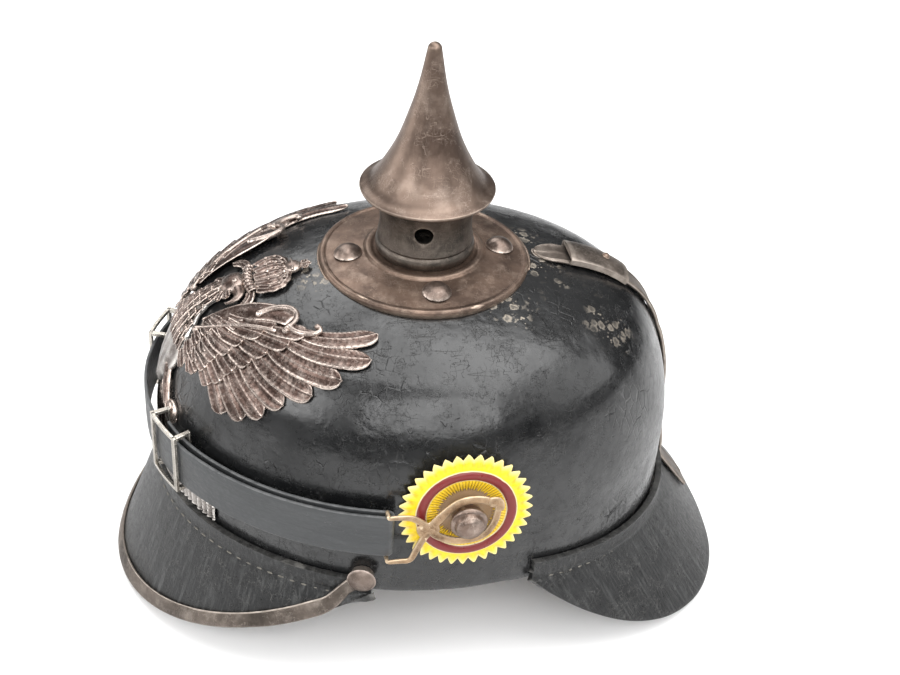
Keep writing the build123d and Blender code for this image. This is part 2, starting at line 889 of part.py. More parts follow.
def make_rear_spine():
    """Strip from beside the base plate down the rear and over the rear visor."""
    outer = seat_gap + spine_steel
    flange_y = ellipse_point(0, seat_gap + visor_leather, 1)[1]
    flange_top = rear_flange(0, seat_gap, 0).Z
    crease = rear_flange(0, seat_gap + visor_leather, rear_flange_height)
    rim = rear_rim(0)
    down = (rim - crease).normalized()
    out = Vector(0, -down.Z, down.Y)
    foot_run = (crease.Z - spine_foot_height) / -down.Z
    foot = crease + down * foot_run
    stand_in, stand_out = seat_gap, seat_gap + spine_steel
    start = spine_rise(spine_tip_y, outer / 2)
    low_wall = wall_point(straight_wall_height, outer)
    step_top = Vector(0, skull_half_length + outer * length_ratio, flange_top + spine_step_length)
    step_foot = Vector(0, flange_y + stand_out, flange_top)
    crease_out = Vector(0, flange_y, crease.Z) + (out + Vector(0, 1, 0)).normalized() * stand_out
    crease_in = Vector(0, flange_y, crease.Z) + (out + Vector(0, 1, 0)).normalized() * stand_in
    inside = Vector(0, skull_half_length / 2, flange_top + spine_step_length)
    flange_corner = Vector(0, flange_y + stand_in, flange_top)
    wall_corner = Vector(0, skull_half_length, flange_top + seat_gap * 2)
    edges = [
        Line(start, arc_a),
        ThreePointArc(arc_a, arc_b, arc_c),
        ThreePointArc(arc_c, wall_point((arc_c.Z + straight_wall_height) / 2, outer), low_wall),
        Line(low_wall, step_top),
        Line(step_top, step_foot),
        Line(step_foot, crease_out),
        Line(crease_out, foot + out * stand_out),
        Line(foot + out * stand_out, foot + out * stand_in),
        Line(foot + out * stand_in, crease_in),
        Line(crease_in, flange_corner),
        Line(flange_corner, wall_corner),
        Line(wall_corner, inside),
        Line(inside, Vector(0, spine_tip_y, start.Z - overrun)),
        Line(Vector(0, spine_tip_y, start.Z - overrun), start),
    ]
    strip = extrude(make_face(edges), spine_width / 2, dir=(1, 0, 0), both=True) - form(seat_gap)
    tongue = make_face(
        Polyline(
            (-spine_width / 2, spine_tip_y + spine_tip_run, 0),
            (-spine_width / 6, spine_tip_y + spine_tip_run / 6, 0),
            (0, spine_tip_y, 0),
            (spine_width / 6, spine_tip_y + spine_tip_run / 6, 0),
            (spine_width / 2, spine_tip_y + spine_tip_run, 0),
            (spine_width / 2, skull_half_length * 2, 0),
            (-spine_width / 2, skull_half_length * 2, 0),
            close=True,
        )
    )
    strip = strip & extrude(tongue, crown_height * 2)
    slot_turn = slide_turn(slide_start_y + vent_slot_length / 2 + overrun / 4)
    slot = Box(vent_slot_width, vent_slot_length, spine_steel * 6)
    strip -= Pos(0, slide_y, slide_z) * Rot(-slot_turn, 0, 0) * Pos(0, 0, slide_radius) * slot
    return solid_of(strip)


def make_spine_prongs():
    prongs = []
    for plane in spine_seat_prongs():
        length = skull_leather * length_ratio + seat_gap * 3
        pin = Pos(0, 0, seat_gap / 2 - length / 2) * Cylinder(prong_radius, length)
        leg = Box(prong_leg * 2, prong_radius * 2, prong_radius)
        leg = Pos(0, 0, -length - prong_radius / 2 + seat_gap / 2) * leg
        prongs.append(plane * (pin + leg))
    return Compound(prongs)


def on_slide(turn, shape):
    """Place a shape that stands on Z at a turn of the slide arc."""
    return Pos(0, slide_y, slide_z) * Rot(-turn, 0, 0) * Pos(0, 0, slide_radius) * shape


def make_vent_slider():
    """Arched sleeve over the spine, turned about the centre of the spine's arc."""
    half = spine_width / 2 + running_gap
    outside = half + slide_steel
    top = running_gap + slide_steel
    base = slide_radius
    section = make_face(
        [
            Line((-half, 0, base - slide_skirt), (-outside, 0, base - slide_skirt)),
            Line((-outside, 0, base - slide_skirt), (-outside, 0, base + top / 2)),
            ThreePointArc(
                (-outside, 0, base + top / 2),
                (0, 0, base + top + slide_arch),
                (outside, 0, base + top / 2),
            ),
            Line((outside, 0, base + top / 2), (outside, 0, base - slide_skirt)),
            Line((outside, 0, base - slide_skirt), (half, 0, base - slide_skirt)),
            Line((half, 0, base - slide_skirt), (half, 0, base + running_gap)),
            Line((half, 0, base + running_gap), (-half, 0, base + running_gap)),
            Line((-half, 0, base + running_gap), (-half, 0, base - slide_skirt)),
        ]
    )
    start = slide_turn(slide_start_y)
    sweep = degrees(slide_length / slide_radius)
    sleeve = revolve(section, Axis.X, revolution_arc=-sweep)
    return Pos(0, slide_y, slide_z) * Rot(-start, 0, 0) * sleeve


def make_slider_knob():
    """Small grip riveted on the slider."""
    middle = slide_turn(slide_start_y) + degrees(slide_length / slide_radius) * knob_place_share
    stand = running_gap + slide_steel + slide_arch + seat_gap / 2
    return on_slide(middle, Pos(0, 0, stand) * dome(knob_radius, knob_height))


# Side posts, cockades and hooks


def post_axis(shape):
    """Stand a shape that was made along Z on the left post's axis, pointing out."""
    return Pos(0, post_y, post_height) * Rot(0, 90, 0) * shape


def post_inner_face():
    """Reach of the skull's inner face at the post, at its nearest point to the middle."""
    return wall_reach(post_height + post_washer_radius, -skull_leather) - seat_gap * 2


def make_side_post():
    """Shank, neck for the hook's eye and domed head in one turning."""
    inner = post_inner_face() - post_washer_thickness - nut_thickness - seat_gap
    start = inner - post_inner_reach / 3
    neck_start = hook_plane - seat_gap * 2
    head_start = hook_plane + hook_steel + running_gap
    points = [
        (0, start),
        (post_shank_radius, start),
        (post_shank_radius, neck_start - hook_steel),
        (post_neck_radius, neck_start - hook_steel),
        (post_neck_radius, head_start),
        (post_head_radius, head_start),
    ]
    for radius_share, rise_share in zip(post_radius_shares, post_rise_shares):
        points.append((post_head_radius * radius_share, head_start + post_head_rise * rise_share))
    points.append((0, head_start + post_head_rise))
    return post_axis(turned(points))


def make_post_washer():
    ring = Cylinder(post_washer_radius, post_washer_thickness) - Cylinder(post_hole_radius, overrun)
    return post_axis(Pos(0, 0, post_inner_face() - post_washer_thickness / 2) * ring)


def make_post_nut():
    nut = extrude(RegularPolygon(nut_radius, nut_sides), nut_thickness)
    nut -= Cylinder(post_shank_radius + seat_gap / 2, overrun * 4)
    place = post_inner_face() - post_washer_thickness - nut_thickness - seat_gap / 2
    return post_axis(Pos(0, 0, place) * nut)


def make_cockade():
    """Toothed disc with a raised ring between two dished zones, on the left post."""
    top = cockade_rise + cockade_ring_rise
    ring_middle = (cockade_ring_outer + cockade_ring_inner) / 2
    lines = [
        Line((cockade_radius, 0, 0), (cockade_ring_outer, 0, cockade_rise)),
        ThreePointArc(
            (cockade_ring_outer, 0, cockade_rise),
            (ring_middle, 0, top),
            (cockade_ring_inner, 0, cockade_rise),
        ),
        Line((cockade_ring_inner, 0, cockade_rise), (post_shank_radius * 3, 0, cockade_dish)),
        Line((post_shank_radius * 3, 0, cockade_dish), (cockade_bore, 0, cockade_dish)),
        Line((cockade_bore, 0, cockade_dish), (cockade_bore, 0, cockade_dish + cockade_steel)),
        Line(
            (cockade_bore, 0, cockade_dish + cockade_steel),
            (post_shank_radius * 3, 0, cockade_dish + cockade_steel),
        ),
        Line(
            (post_shank_radius * 3, 0, cockade_dish + cockade_steel),
            (cockade_ring_inner, 0, cockade_rise + cockade_steel),
        ),
        ThreePointArc(
            (cockade_ring_inner, 0, cockade_rise + cockade_steel),
            (ring_middle, 0, top + cockade_steel),
            (cockade_ring_outer, 0, cockade_rise + cockade_steel),
        ),
        Line(
            (cockade_ring_outer, 0, cockade_rise + cockade_steel),
            (cockade_radius, 0, cockade_steel),
        ),
        Line((cockade_radius, 0, cockade_steel), (cockade_radius, 0, 0)),
    ]
    disc = revolve(make_face(lines), Axis.Z)
    points = []
    for index in range(cockade_teeth):
        for half, reach in ((0, cockade_radius), (1, cockade_radius - cockade_tooth)):
            turn = radians(360 * (index + half / 2) / cockade_teeth)
            points.append((reach * cos(turn), reach * sin(turn)))
    disc = disc & extrude(make_face(Polyline(*points, close=True)), overrun)
    centre = wall_reach(post_height) + cockade_stand
    return Pos(centre, post_y, post_height) * Rot(0, 90 - cockade_tilt, 0) * disc


def bar_line(start, end, width):
    """Flat bar with round ends between two points of a sketch."""
    ax, ay = start
    bx, by = end
    length = hypot(bx - ax, by - ay)
    turn = degrees(atan2(by - ay, bx - ax))
    bar = Rot(0, 0, turn) * Pos(length / 2, 0) * Rectangle(length, width)
    return Pos(ax, ay) * (bar + Circle(width / 2) + Rot(0, 0, turn) * Pos(length, 0) * Circle(width / 2))


def make_strap_hook():
    """Fish-shaped hook: an eye on the post, crossed arms and a bar for the strap's fold."""
    eye_hole = post_neck_radius + running_gap
    fork = strap_width / 2 + bar_radius + running_gap
    level = strap_height - post_height
    cross = (-hook_cross_reach, -hook_cross_drop)
    upper, lower = (-hook_fork_reach, level + fork), (-hook_fork_reach, level - fork)
    rim = (hook_eye_outer + eye_hole) / 2
    flat = Circle(hook_eye_outer)
    over, under = radians(hook_over_turn), radians(hook_under_turn)
    flat += bar_line((-rim * cos(over), rim * sin(over)), cross, hook_wire)
    flat += bar_line((-rim * cos(under), -rim * sin(under)), cross, hook_wire)
    flat += bar_line(cross, upper, hook_wire * hook_fork_share)
    flat += bar_line(cross, lower, hook_wire * hook_fork_share)
    flat += bar_line(upper, (-bar_reach, level + fork), bar_radius * 2)
    flat += bar_line(lower, (-bar_reach, level - fork), bar_radius * 2)
    flat -= Circle(eye_hole)
    plane = Plane(origin=(hook_plane, post_y, post_height), x_dir=(0, 1, 0), z_dir=(1, 0, 0))
    hook = extrude(plane * flat, hook_steel)
    y = post_y - bar_reach
    leg_length = hook_plane + hook_steel - bar_x
    for z in (strap_height + fork, strap_height - fork):
        hook += Pos(bar_x + leg_length / 2, y, z) * Rot(0, 90, 0) * Cylinder(bar_radius, leg_length)
        hook += Pos(bar_x, y, z) * Sphere(bar_radius)
    hook += Pos(bar_x, y, strap_height) * Cylinder(bar_radius, fork * 2)
    return solid_of(hook)


# Chin strap


def strap_side():
    """Radius and turn of the strap's side arc, from the front arc to the fold at the bar."""
    outer = bar_x + bar_radius + strap_fold_gap + strap_leather_thickness
    front_centre = strap_front_radius - strap_front_reach
    turn = radians(strap_front_turn)
    start = (strap_front_radius * sin(turn), front_centre - strap_front_radius * cos(turn))
    end = (outer, post_y - bar_reach)
    chord_turn = atan2(end[1] - start[1], end[0] - start[0])
    half = chord_turn - turn
    radius = hypot(end[0] - start[0], end[1] - start[1]) / (2 * sin(half))
    return radius, degrees(2 * half)


side_radius, side_turn = strap_side()
front_centre_y = strap_front_radius - strap_front_reach


def strap_path_point(turn, inset):
    """Plan point of the strap's outer face at a turn from the front, moved in by an inset."""
    if turn <= strap_front_turn:
        reach = strap_front_radius - inset
        return reach * sin(radians(turn)), front_centre_y - reach * cos(radians(turn))
    bend = radians(strap_front_turn)
    gap = strap_front_radius - side_radius
    centre = (gap * sin(bend), front_centre_y - gap * cos(bend))
    reach = side_radius - inset
    return centre[0] + reach * sin(radians(turn)), centre[1] - reach * cos(radians(turn))


def make_strap():
    """Band between the hooks with both ends folded back, standing on edge."""
    skin = strap_leather_thickness
    space = 2 * (bar_radius + strap_fold_gap)
    depth = 2 * skin + space
    end = strap_front_turn + side_turn

    def arc(first, last, inset, side):
        points = []
        for turn in (first, (first + last) / 2, last):
            x, y = strap_path_point(turn, inset)
            points.append((side * x, y))
        return ThreePointArc(*points)

    def fold(inset_a, inset_b, side):
        ax, ay = strap_path_point(end, inset_a)
        bx, by = strap_path_point(end, inset_b)
        reach = hypot(bx - ax, by - ay) / 2
        way = radians(end)
        mx, my = (ax + bx) / 2 + reach * cos(way), (ay + by) / 2 + reach * sin(way)
        return ThreePointArc((side * ax, ay), (side * mx, my), (side * bx, by))

    def across(turn, inset_a, inset_b, side):
        ax, ay = strap_path_point(turn, inset_a)
        bx, by = strap_path_point(turn, inset_b)
        return Line((side * ax, ay), (side * bx, by))

    edges = []
    for side in (1, -1):
        bend = strap_front_turn
        edges += [
            arc(bend, end, 0, side),
            fold(0, depth, side),
            arc(end, bend, depth, side),
            arc(bend, strap_return_turn, depth, side),
            across(strap_return_turn, depth, depth - skin, side),
            arc(strap_return_turn, bend, depth - skin, side),
            arc(bend, end, depth - skin, side),
            fold(depth - skin, skin, side),
            arc(end, bend, skin, side),
        ]
    for inset in (0, skin):
        left = strap_path_point(strap_front_turn, inset)
        middle = strap_path_point(0, inset)
        edges.append(ThreePointArc((-left[0], left[1]), middle, left))
    face = make_face(Wire(edges))
    return Pos(0, 0, strap_height - strap_width / 2) * extrude(face, strap_width)


def make_buckle():
    """Slide frame with a rear bar, bent to the strap's front arc, on the wearer's left."""
    skin = strap_leather_thickness
    depth = 2 * skin + 2 * (bar_radius + strap_fold_gap)
    outer = strap_front_radius + running_gap + buckle_wire
    inner = strap_front_radius - depth - strap_fold_gap - buckle_inner_steel
    half_turn = degrees(buckle_length / 2 / strap_front_radius)
    wire_turn = degrees(buckle_wire / strap_front_radius)
    half = buckle_height / 2

    def block(near, far, low, high, first, last):
        section = Polyline((near, 0, low), (far, 0, low), (far, 0, high), (near, 0, high), close=True)
        return Rot(0, 0, first - 90) * revolve(make_face(section), Axis.Z, revolution_arc=last - first)

    gap_half = strap_width / 2 + running_gap
    frame = block(inner, outer, -half, half, -half_turn, -half_turn + wire_turn)
    frame += block(inner, outer, -half, half, half_turn - wire_turn, half_turn)
    frame -= block(inner + buckle_inner_steel, outer - buckle_wire, -gap_half, gap_half, -90, 90)
    frame += block(inner, outer, gap_half, half, -half_turn, half_turn)
    frame += block(inner, outer, -half, -gap_half, -half_turn, half_turn)
    return Pos(0, front_centre_y, strap_height) * Rot(0, 0, buckle_turn + half_turn) * solid_of(frame)


# Front plate


def emblem_plane():
    """Drawing plane of the front plate, leaning back from the front."""
    lean = radians(plate_lean)
    return Plane(origin=(0, 0, 0), x_dir=(1, 0, 0), z_dir=(0, -cos(lean), sin(lean)))


def pressed(sketch, low, high):
    """A drawing pressed on the skull between two offsets."""
    prism = extrude(emblem_plane() * sketch, skull_half_length * 2)
    return prism & shell(low, high)


def feather_places():
    """Turn and length of each wing feather, from the top one down."""
    for index in range(feather_count):
        step = index / (feather_count - 1)
        turn = feather_first_turn - feather_spread * step
        yield turn, feather_longest + (feather_shortest - feather_longest) * step


def feather_sketch(turn, length, root, width):
    """Feather that widens to a round end."""
    straight = length - width / 2
    blade = Polyline((0, -root / 2), (straight, -width / 2), (straight, width / 2), (0, root / 2), close=True)
    flat = make_face(blade) + Pos(straight, 0) * Circle(width / 2)
    return Pos(*feather_pivot) * Rot(0, 0, turn) * flat


def both_sides(sketch):
    """A sketch and its mirror image across the middle."""
    return sketch + mirror(sketch, Plane.YZ)


def wing_sketch():
    wing = Pos(*feather_pivot) * Circle(covert_radius)
    for turn, length in feather_places():
        wing += feather_sketch(turn, length, feather_root_width, feather_width)
    x, y = feather_pivot
    arm = make_face(
        Polyline(
            (wing_inner / 2, y - covert_radius - wing_shoulder_drop / 2),
            (x, y - covert_radius),
            (x, y + covert_radius),
            (wing_inner / 2, y - wing_shoulder_drop / 4),
            close=True,
        )
    )
    return both_sides(wing + arm)


def body_sketch(inset):
    """Body, neck, head with beak, tail, legs and claws, drawn in by an inset."""
    head_y = body_centre + body_half_height + neck_length
    flat = Pos(0, body_centre) * Ellipse(body_half_width - inset, body_half_height - inset)
    flat += bar_line((0, body_centre + body_half_height / 2), (head_shift, head_y), neck_width - 2 * inset)
    flat += Pos(head_shift, head_y) * Circle(head_radius - inset)
    return flat


def outline_sketch():
    """Whole outline of the bird without its wings."""
    head_y = body_centre + body_half_height + neck_length
    flat = body_sketch(0)
    beak_x = head_shift + head_radius * beak_seat_share
    flat += make_face(
        Polyline(
            (beak_x, head_y + beak_width / 2),
            (beak_x + beak_length, head_y),
            (beak_x + beak_length * beak_hook_share, head_y - beak_width * beak_drop_share),
            (beak_x, head_y - beak_width / 2),
            close=True,
        )
    )
    foot = body_centre - body_half_height
    flat += make_face(
        Polyline(
            (-tail_half_width / 3, foot + tail_length / 2),
            (-tail_half_width, foot - tail_length / 2),
            (0, foot - tail_length / 2 - tail_length / 8),
            (tail_half_width, foot - tail_length / 2),
            (tail_half_width / 3, foot + tail_length / 2),
            close=True,
        )
    )
    knee = (body_half_width / 2, body_centre - body_half_height / 2)
    claw = (leg_reach, body_centre - body_half_height / 2 - leg_length / 2)
    legs = bar_line(knee, claw, leg_width) + Pos(*claw) * Circle(claw_radius)
    return flat + both_sides(legs)


def crown_sketch():
    """Band, arched top and ball of the crown."""
    base = body_centre + body_half_height + neck_length + head_radius - crown_band / 2
    flat = Pos(head_shift, base + crown_band / 2) * Rectangle(crown_width * crown_band_share, crown_band)
    arch = Ellipse(crown_width / 2, crown_rise * crown_arch_share)
    flat += Pos(head_shift, base + crown_band + crown_rise / 3) * arch
    return flat + Pos(head_shift, base + crown_band + crown_rise + crown_ball / 4) * Circle(crown_ball)


def regalia_sketch():
    """Sceptre on the wearer's right and orb on the left, and the ribbon over the wings."""
    claw_y = body_centre - body_half_height / 2 - leg_length / 2
    lean = radians(sceptre_lean)
    foot = (-leg_reach, claw_y)
    head = (-leg_reach - sceptre_length * sin(lean), claw_y + sceptre_length * cos(lean))
    flat = bar_line(foot, head, sceptre_width)
    for share in sceptre_bead_shares:
        x = foot[0] + (head[0] - foot[0]) * share
        y = foot[1] + (head[1] - foot[1]) * share
        flat += Pos(x, y) * Circle(sceptre_bead)
    flat += Pos(leg_reach, claw_y) * Circle(orb_radius)
    x, y = feather_pivot
    turn = (x - ribbon_width / 2, y + covert_radius)
    end = (x + ribbon_width, y + covert_radius * ribbon_rise_share)
    ribbon = bar_line((wing_inner, y - covert_radius / 2), turn, ribbon_width)
    ribbon += bar_line(turn, end, ribbon_width * ribbon_end_share)
    return flat + both_sides(ribbon)


def make_scroll():
    """Bare scroll round the foot of the plate with folded ends."""
    band = Pos(0, -skull_half_length, scroll_bottom + scroll_height / 2)
    box = band * Box(scroll_half_width * 2, skull_half_length * 2, scroll_height)
    scroll = box & shell(emblem_back, emblem_back + emblem_steel)
    fold_height = scroll_bottom + scroll_height / 2 - scroll_fold_drop
    fold = Pos(scroll_half_width - scroll_fold / 2, -skull_half_length, fold_height)
    end = fold * Box(scroll_fold, skull_half_length * 2, scroll_height)
    ends = (end + mirror(end, Plane.YZ)) & shell(emblem_back, emblem_back + emblem_steel * scroll_end_share)
    stem = Box(tail_half_width, skull_half_length * 2, tail_length)
    stem = Pos(0, -skull_half_length, scroll_bottom + scroll_height) * stem
    return scroll + ends + (stem & shell(emblem_back, emblem_back + emblem_steel))


def make_front_plate():
    base_top = emblem_back + emblem_steel
    rib_top = base_top + feather_step
    flat = wing_sketch() + outline_sketch() + crown_sketch() + regalia_sketch()
    plate = pressed(flat, emblem_back, base_top)
    ribs = None
    for turn, length in feather_places():
        rib = feather_sketch(turn, length - feather_width / 2, feather_rib_width, feather_rib_width)
        ribs = rib if ribs is None else ribs + rib
    relief = both_sides(ribs) + crown_sketch() + regalia_sketch() + body_sketch(0)
    plate += pressed(relief, base_top - seat_gap, rib_top)
    plate += pressed(body_sketch(body_step), rib_top - seat_gap, rib_top + body_step)
    plate += make_scroll()
    return solid_of(plate)


def make_plate_loops():
    loops = []
    for side in (-1, 1):
        length = loop_depth + emblem_back - seat_gap
        tab = Pos(0, 0, emblem_back - seat_gap - length / 2) * Box(loop_steel, loop_width, length)
        eye = Pos(0, 0, -loop_pin_depth) * Rot(0, 90, 0) * Cylinder(loop_eye_radius, overrun)
        loops.append(loop_plane(side) * (tab - eye))
    return Compound(loops)


def make_plate_pins():
    pin = Pos(0, 0, -loop_pin_depth) * Rot(0, 90, 0) * Cylinder(loop_pin_radius, loop_pin_length)
    return Compound([loop_plane(side) * pin for side in (-1, 1)])


# Liner


def make_liner_band():
    outer, inner = -skull_leather - seat_gap, -skull_leather - seat_gap - band_leather
    ring = shell(inner, outer)
    top = Box(whole_span, whole_span, skull_half_length * 2)
    top = Pos(0, 0, band_top + skull_half_length) * top
    ring = ring - top - edge_cutter(band_rise)
    stud = trim_stud_plane() * Cylinder(stud_washer_radius, (skull_leather + visor_leather + overrun) * 2)
    return solid_of(side_posts_out(ring, stud))


def make_liner_tongues():
    """Leather tongues from the band up and in, each with a hole near its tip."""
    foot_radius = skull_half_width - skull_leather - seat_gap
    foot = band_top + seat_gap
    skin = tongue_leather
    section = make_face(
        [
            ThreePointArc(
                (foot_radius, 0, foot),
                (tongue_bulge_radius, 0, tongue_bulge_height),
                (tongue_tip_radius, 0, tongue_tip_height),
            ),
            Line((tongue_tip_radius, 0, tongue_tip_height), (tongue_tip_radius, 0, tongue_tip_height - skin)),
            ThreePointArc(
                (tongue_tip_radius, 0, tongue_tip_height - skin),
                (tongue_bulge_radius - skin, 0, tongue_bulge_height - skin),
                (foot_radius - skin, 0, foot),
            ),
            Line((foot_radius - skin, 0, foot), (foot_radius, 0, foot)),
        ]
    )
    bell = revolve(section, Axis.Z)
    half = radians(tongue_foot_turn / 2)
    tip = tongue_tip_radius + tongue_tip_width / 4
    petal = make_face(
        Polyline(
            (tip, -tongue_tip_width / 2),
            (foot_radius * cos(half), -foot_radius * sin(half)),
            (foot_radius + overrun, -foot_radius * sin(half)),
            (foot_radius + overrun, foot_radius * sin(half)),
            (foot_radius * cos(half), foot_radius * sin(half)),
            (tip, tongue_tip_width / 2),
            close=True,
        )
    )
    petal += Pos(tip, 0) * Circle(tongue_tip_width / 2)
    petal -= Pos(tip + tongue_hole_inset / 2, 0) * Circle(tongue_hole_radius)
    tongues = []
    for index in range(tongue_count):
        cutter = Rot(0, 0, 360 * index / tongue_count - 90) * extrude(petal, crown_height)
        tongues += scale(bell & cutter, by=(1, length_ratio, 1)).solids()
    return Compound(tongues)


def mirrored(shape):
    """A left piece and its right twin."""
    return {"left": shape, "right": mirror(shape, Plane.YZ)}


def build_nodes():
    nodes = {
        "skull_shell": make_skull(),
        "front_visor": make_front_visor(),
        "rear_visor": make_rear_visor(),
        "visor_trim": make_visor_trim(),
        "trim_studs": make_trim_studs(),
        "base_plate": make_base_plate(),
        "base_studs": make_base_studs(),
        "base_stud_washers": make_stud_washers(),
        "bayonet_collar": make_bayonet_collar(),
        "spike_neck": make_spike_neck(),
        "spike_cone": make_spike_cone(),
        "spike_lugs": make_spike_lugs(),
        "rear_spine": make_rear_spine(),
        "spine_prongs": make_spine_prongs(),
        "vent_slider": make_vent_slider(),
        "slider_knob": make_slider_knob(),
        "front_plate": make_front_plate(),
        "plate_loops": make_plate_loops(),
        "plate_pins": make_plate_pins(),
        "liner_band": make_liner_band(),
        "liner_tongues": make_liner_tongues(),
        "chin_strap": make_strap(),
    }
    for name, shape in (
        ("side_post", make_side_post()),
        ("post_washer", make_post_washer()),
        ("post_nut", make_post_nut()),
        ("cockade", make_cockade()),
        ("strap_hook", make_strap_hook()),
        ("strap_buckle", make_buckle()),
    ):
        for side, twin in mirrored(shape).items():
            nodes[f"{name}_{side}"] = twin
    return nodes


def main():
    os.makedirs("parts", exist_ok=True)
    print("slide centre", slide_y + centre_shift, slide_z, "radius", slide_radius)
    print("strap front centre", front_centre_y + centre_shift, "post", post_y + centre_shift, post_height)
    print("shift", centre_shift, "side arc", side_radius, side_turn)
    for name, shape in build_nodes().items():
        export_step(Pos(0, centre_shift, 0) * shape, f"parts/{name}.step")
        print(name)


main()
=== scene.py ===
"""Spiked leather helmet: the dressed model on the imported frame.

Lengths are in millimetres from the skull's own axis until a piece is finished, which scales it to metres and
moves it into the frame. X points to the wearer's left, Y to the rear and Z up.
"""

import json
import logging
import math
from bisect import bisect_right
from dataclasses import dataclass
from enum import Enum
from functools import cached_property
from typing import Callable, Dict, Iterable, List, Optional, Sequence, Tuple

import bmesh
import bpy
from mathutils import Matrix, Vector, noise

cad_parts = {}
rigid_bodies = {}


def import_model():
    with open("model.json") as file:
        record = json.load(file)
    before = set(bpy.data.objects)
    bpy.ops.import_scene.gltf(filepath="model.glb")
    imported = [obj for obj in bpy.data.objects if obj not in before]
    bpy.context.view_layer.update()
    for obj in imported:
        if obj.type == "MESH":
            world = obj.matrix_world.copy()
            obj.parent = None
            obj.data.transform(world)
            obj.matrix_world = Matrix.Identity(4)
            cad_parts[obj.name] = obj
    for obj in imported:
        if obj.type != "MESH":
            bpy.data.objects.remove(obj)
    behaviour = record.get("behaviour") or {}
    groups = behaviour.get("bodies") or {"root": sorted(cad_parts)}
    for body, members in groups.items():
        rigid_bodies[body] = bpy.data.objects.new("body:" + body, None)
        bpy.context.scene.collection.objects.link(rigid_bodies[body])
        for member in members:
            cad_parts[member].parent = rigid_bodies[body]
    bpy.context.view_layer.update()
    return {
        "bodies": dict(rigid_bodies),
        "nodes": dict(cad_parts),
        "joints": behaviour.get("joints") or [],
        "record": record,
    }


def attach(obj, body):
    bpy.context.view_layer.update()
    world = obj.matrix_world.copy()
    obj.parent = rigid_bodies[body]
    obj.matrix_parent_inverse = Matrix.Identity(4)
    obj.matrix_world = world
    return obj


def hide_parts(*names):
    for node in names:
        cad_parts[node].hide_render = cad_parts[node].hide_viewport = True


LOG = logging.getLogger("helmet")
MM = 0.001  # metres in a millimetre
SHIFT_Y = -2.425  # the skull's axis along the frame's Y
WELD = 1e-3  # vertices nearer than this become one
WHITE = (1.0, 1.0, 1.0)

Point = Tuple[float, float, float]
Pair = Tuple[float, float]
Colour = Tuple[float, float, float]
Mesh = bmesh.types.BMesh
Socket = bpy.types.NodeSocket
Finishes = Dict[str, bpy.types.Material]


class Side(Enum):
    """The wearer's side of a paired piece."""

    LEFT = "left"
    RIGHT = "right"


class Body(Enum):
    """The moving bodies of the frame."""

    HELMET = "helmet"
    SPIKE = "spike"
    SLIDE = "vent_slide"
    STRAP = "chinstrap"
    BUCKLE_LEFT = "buckle_left"
    BUCKLE_RIGHT = "buckle_right"


# Shapes shared by the pieces


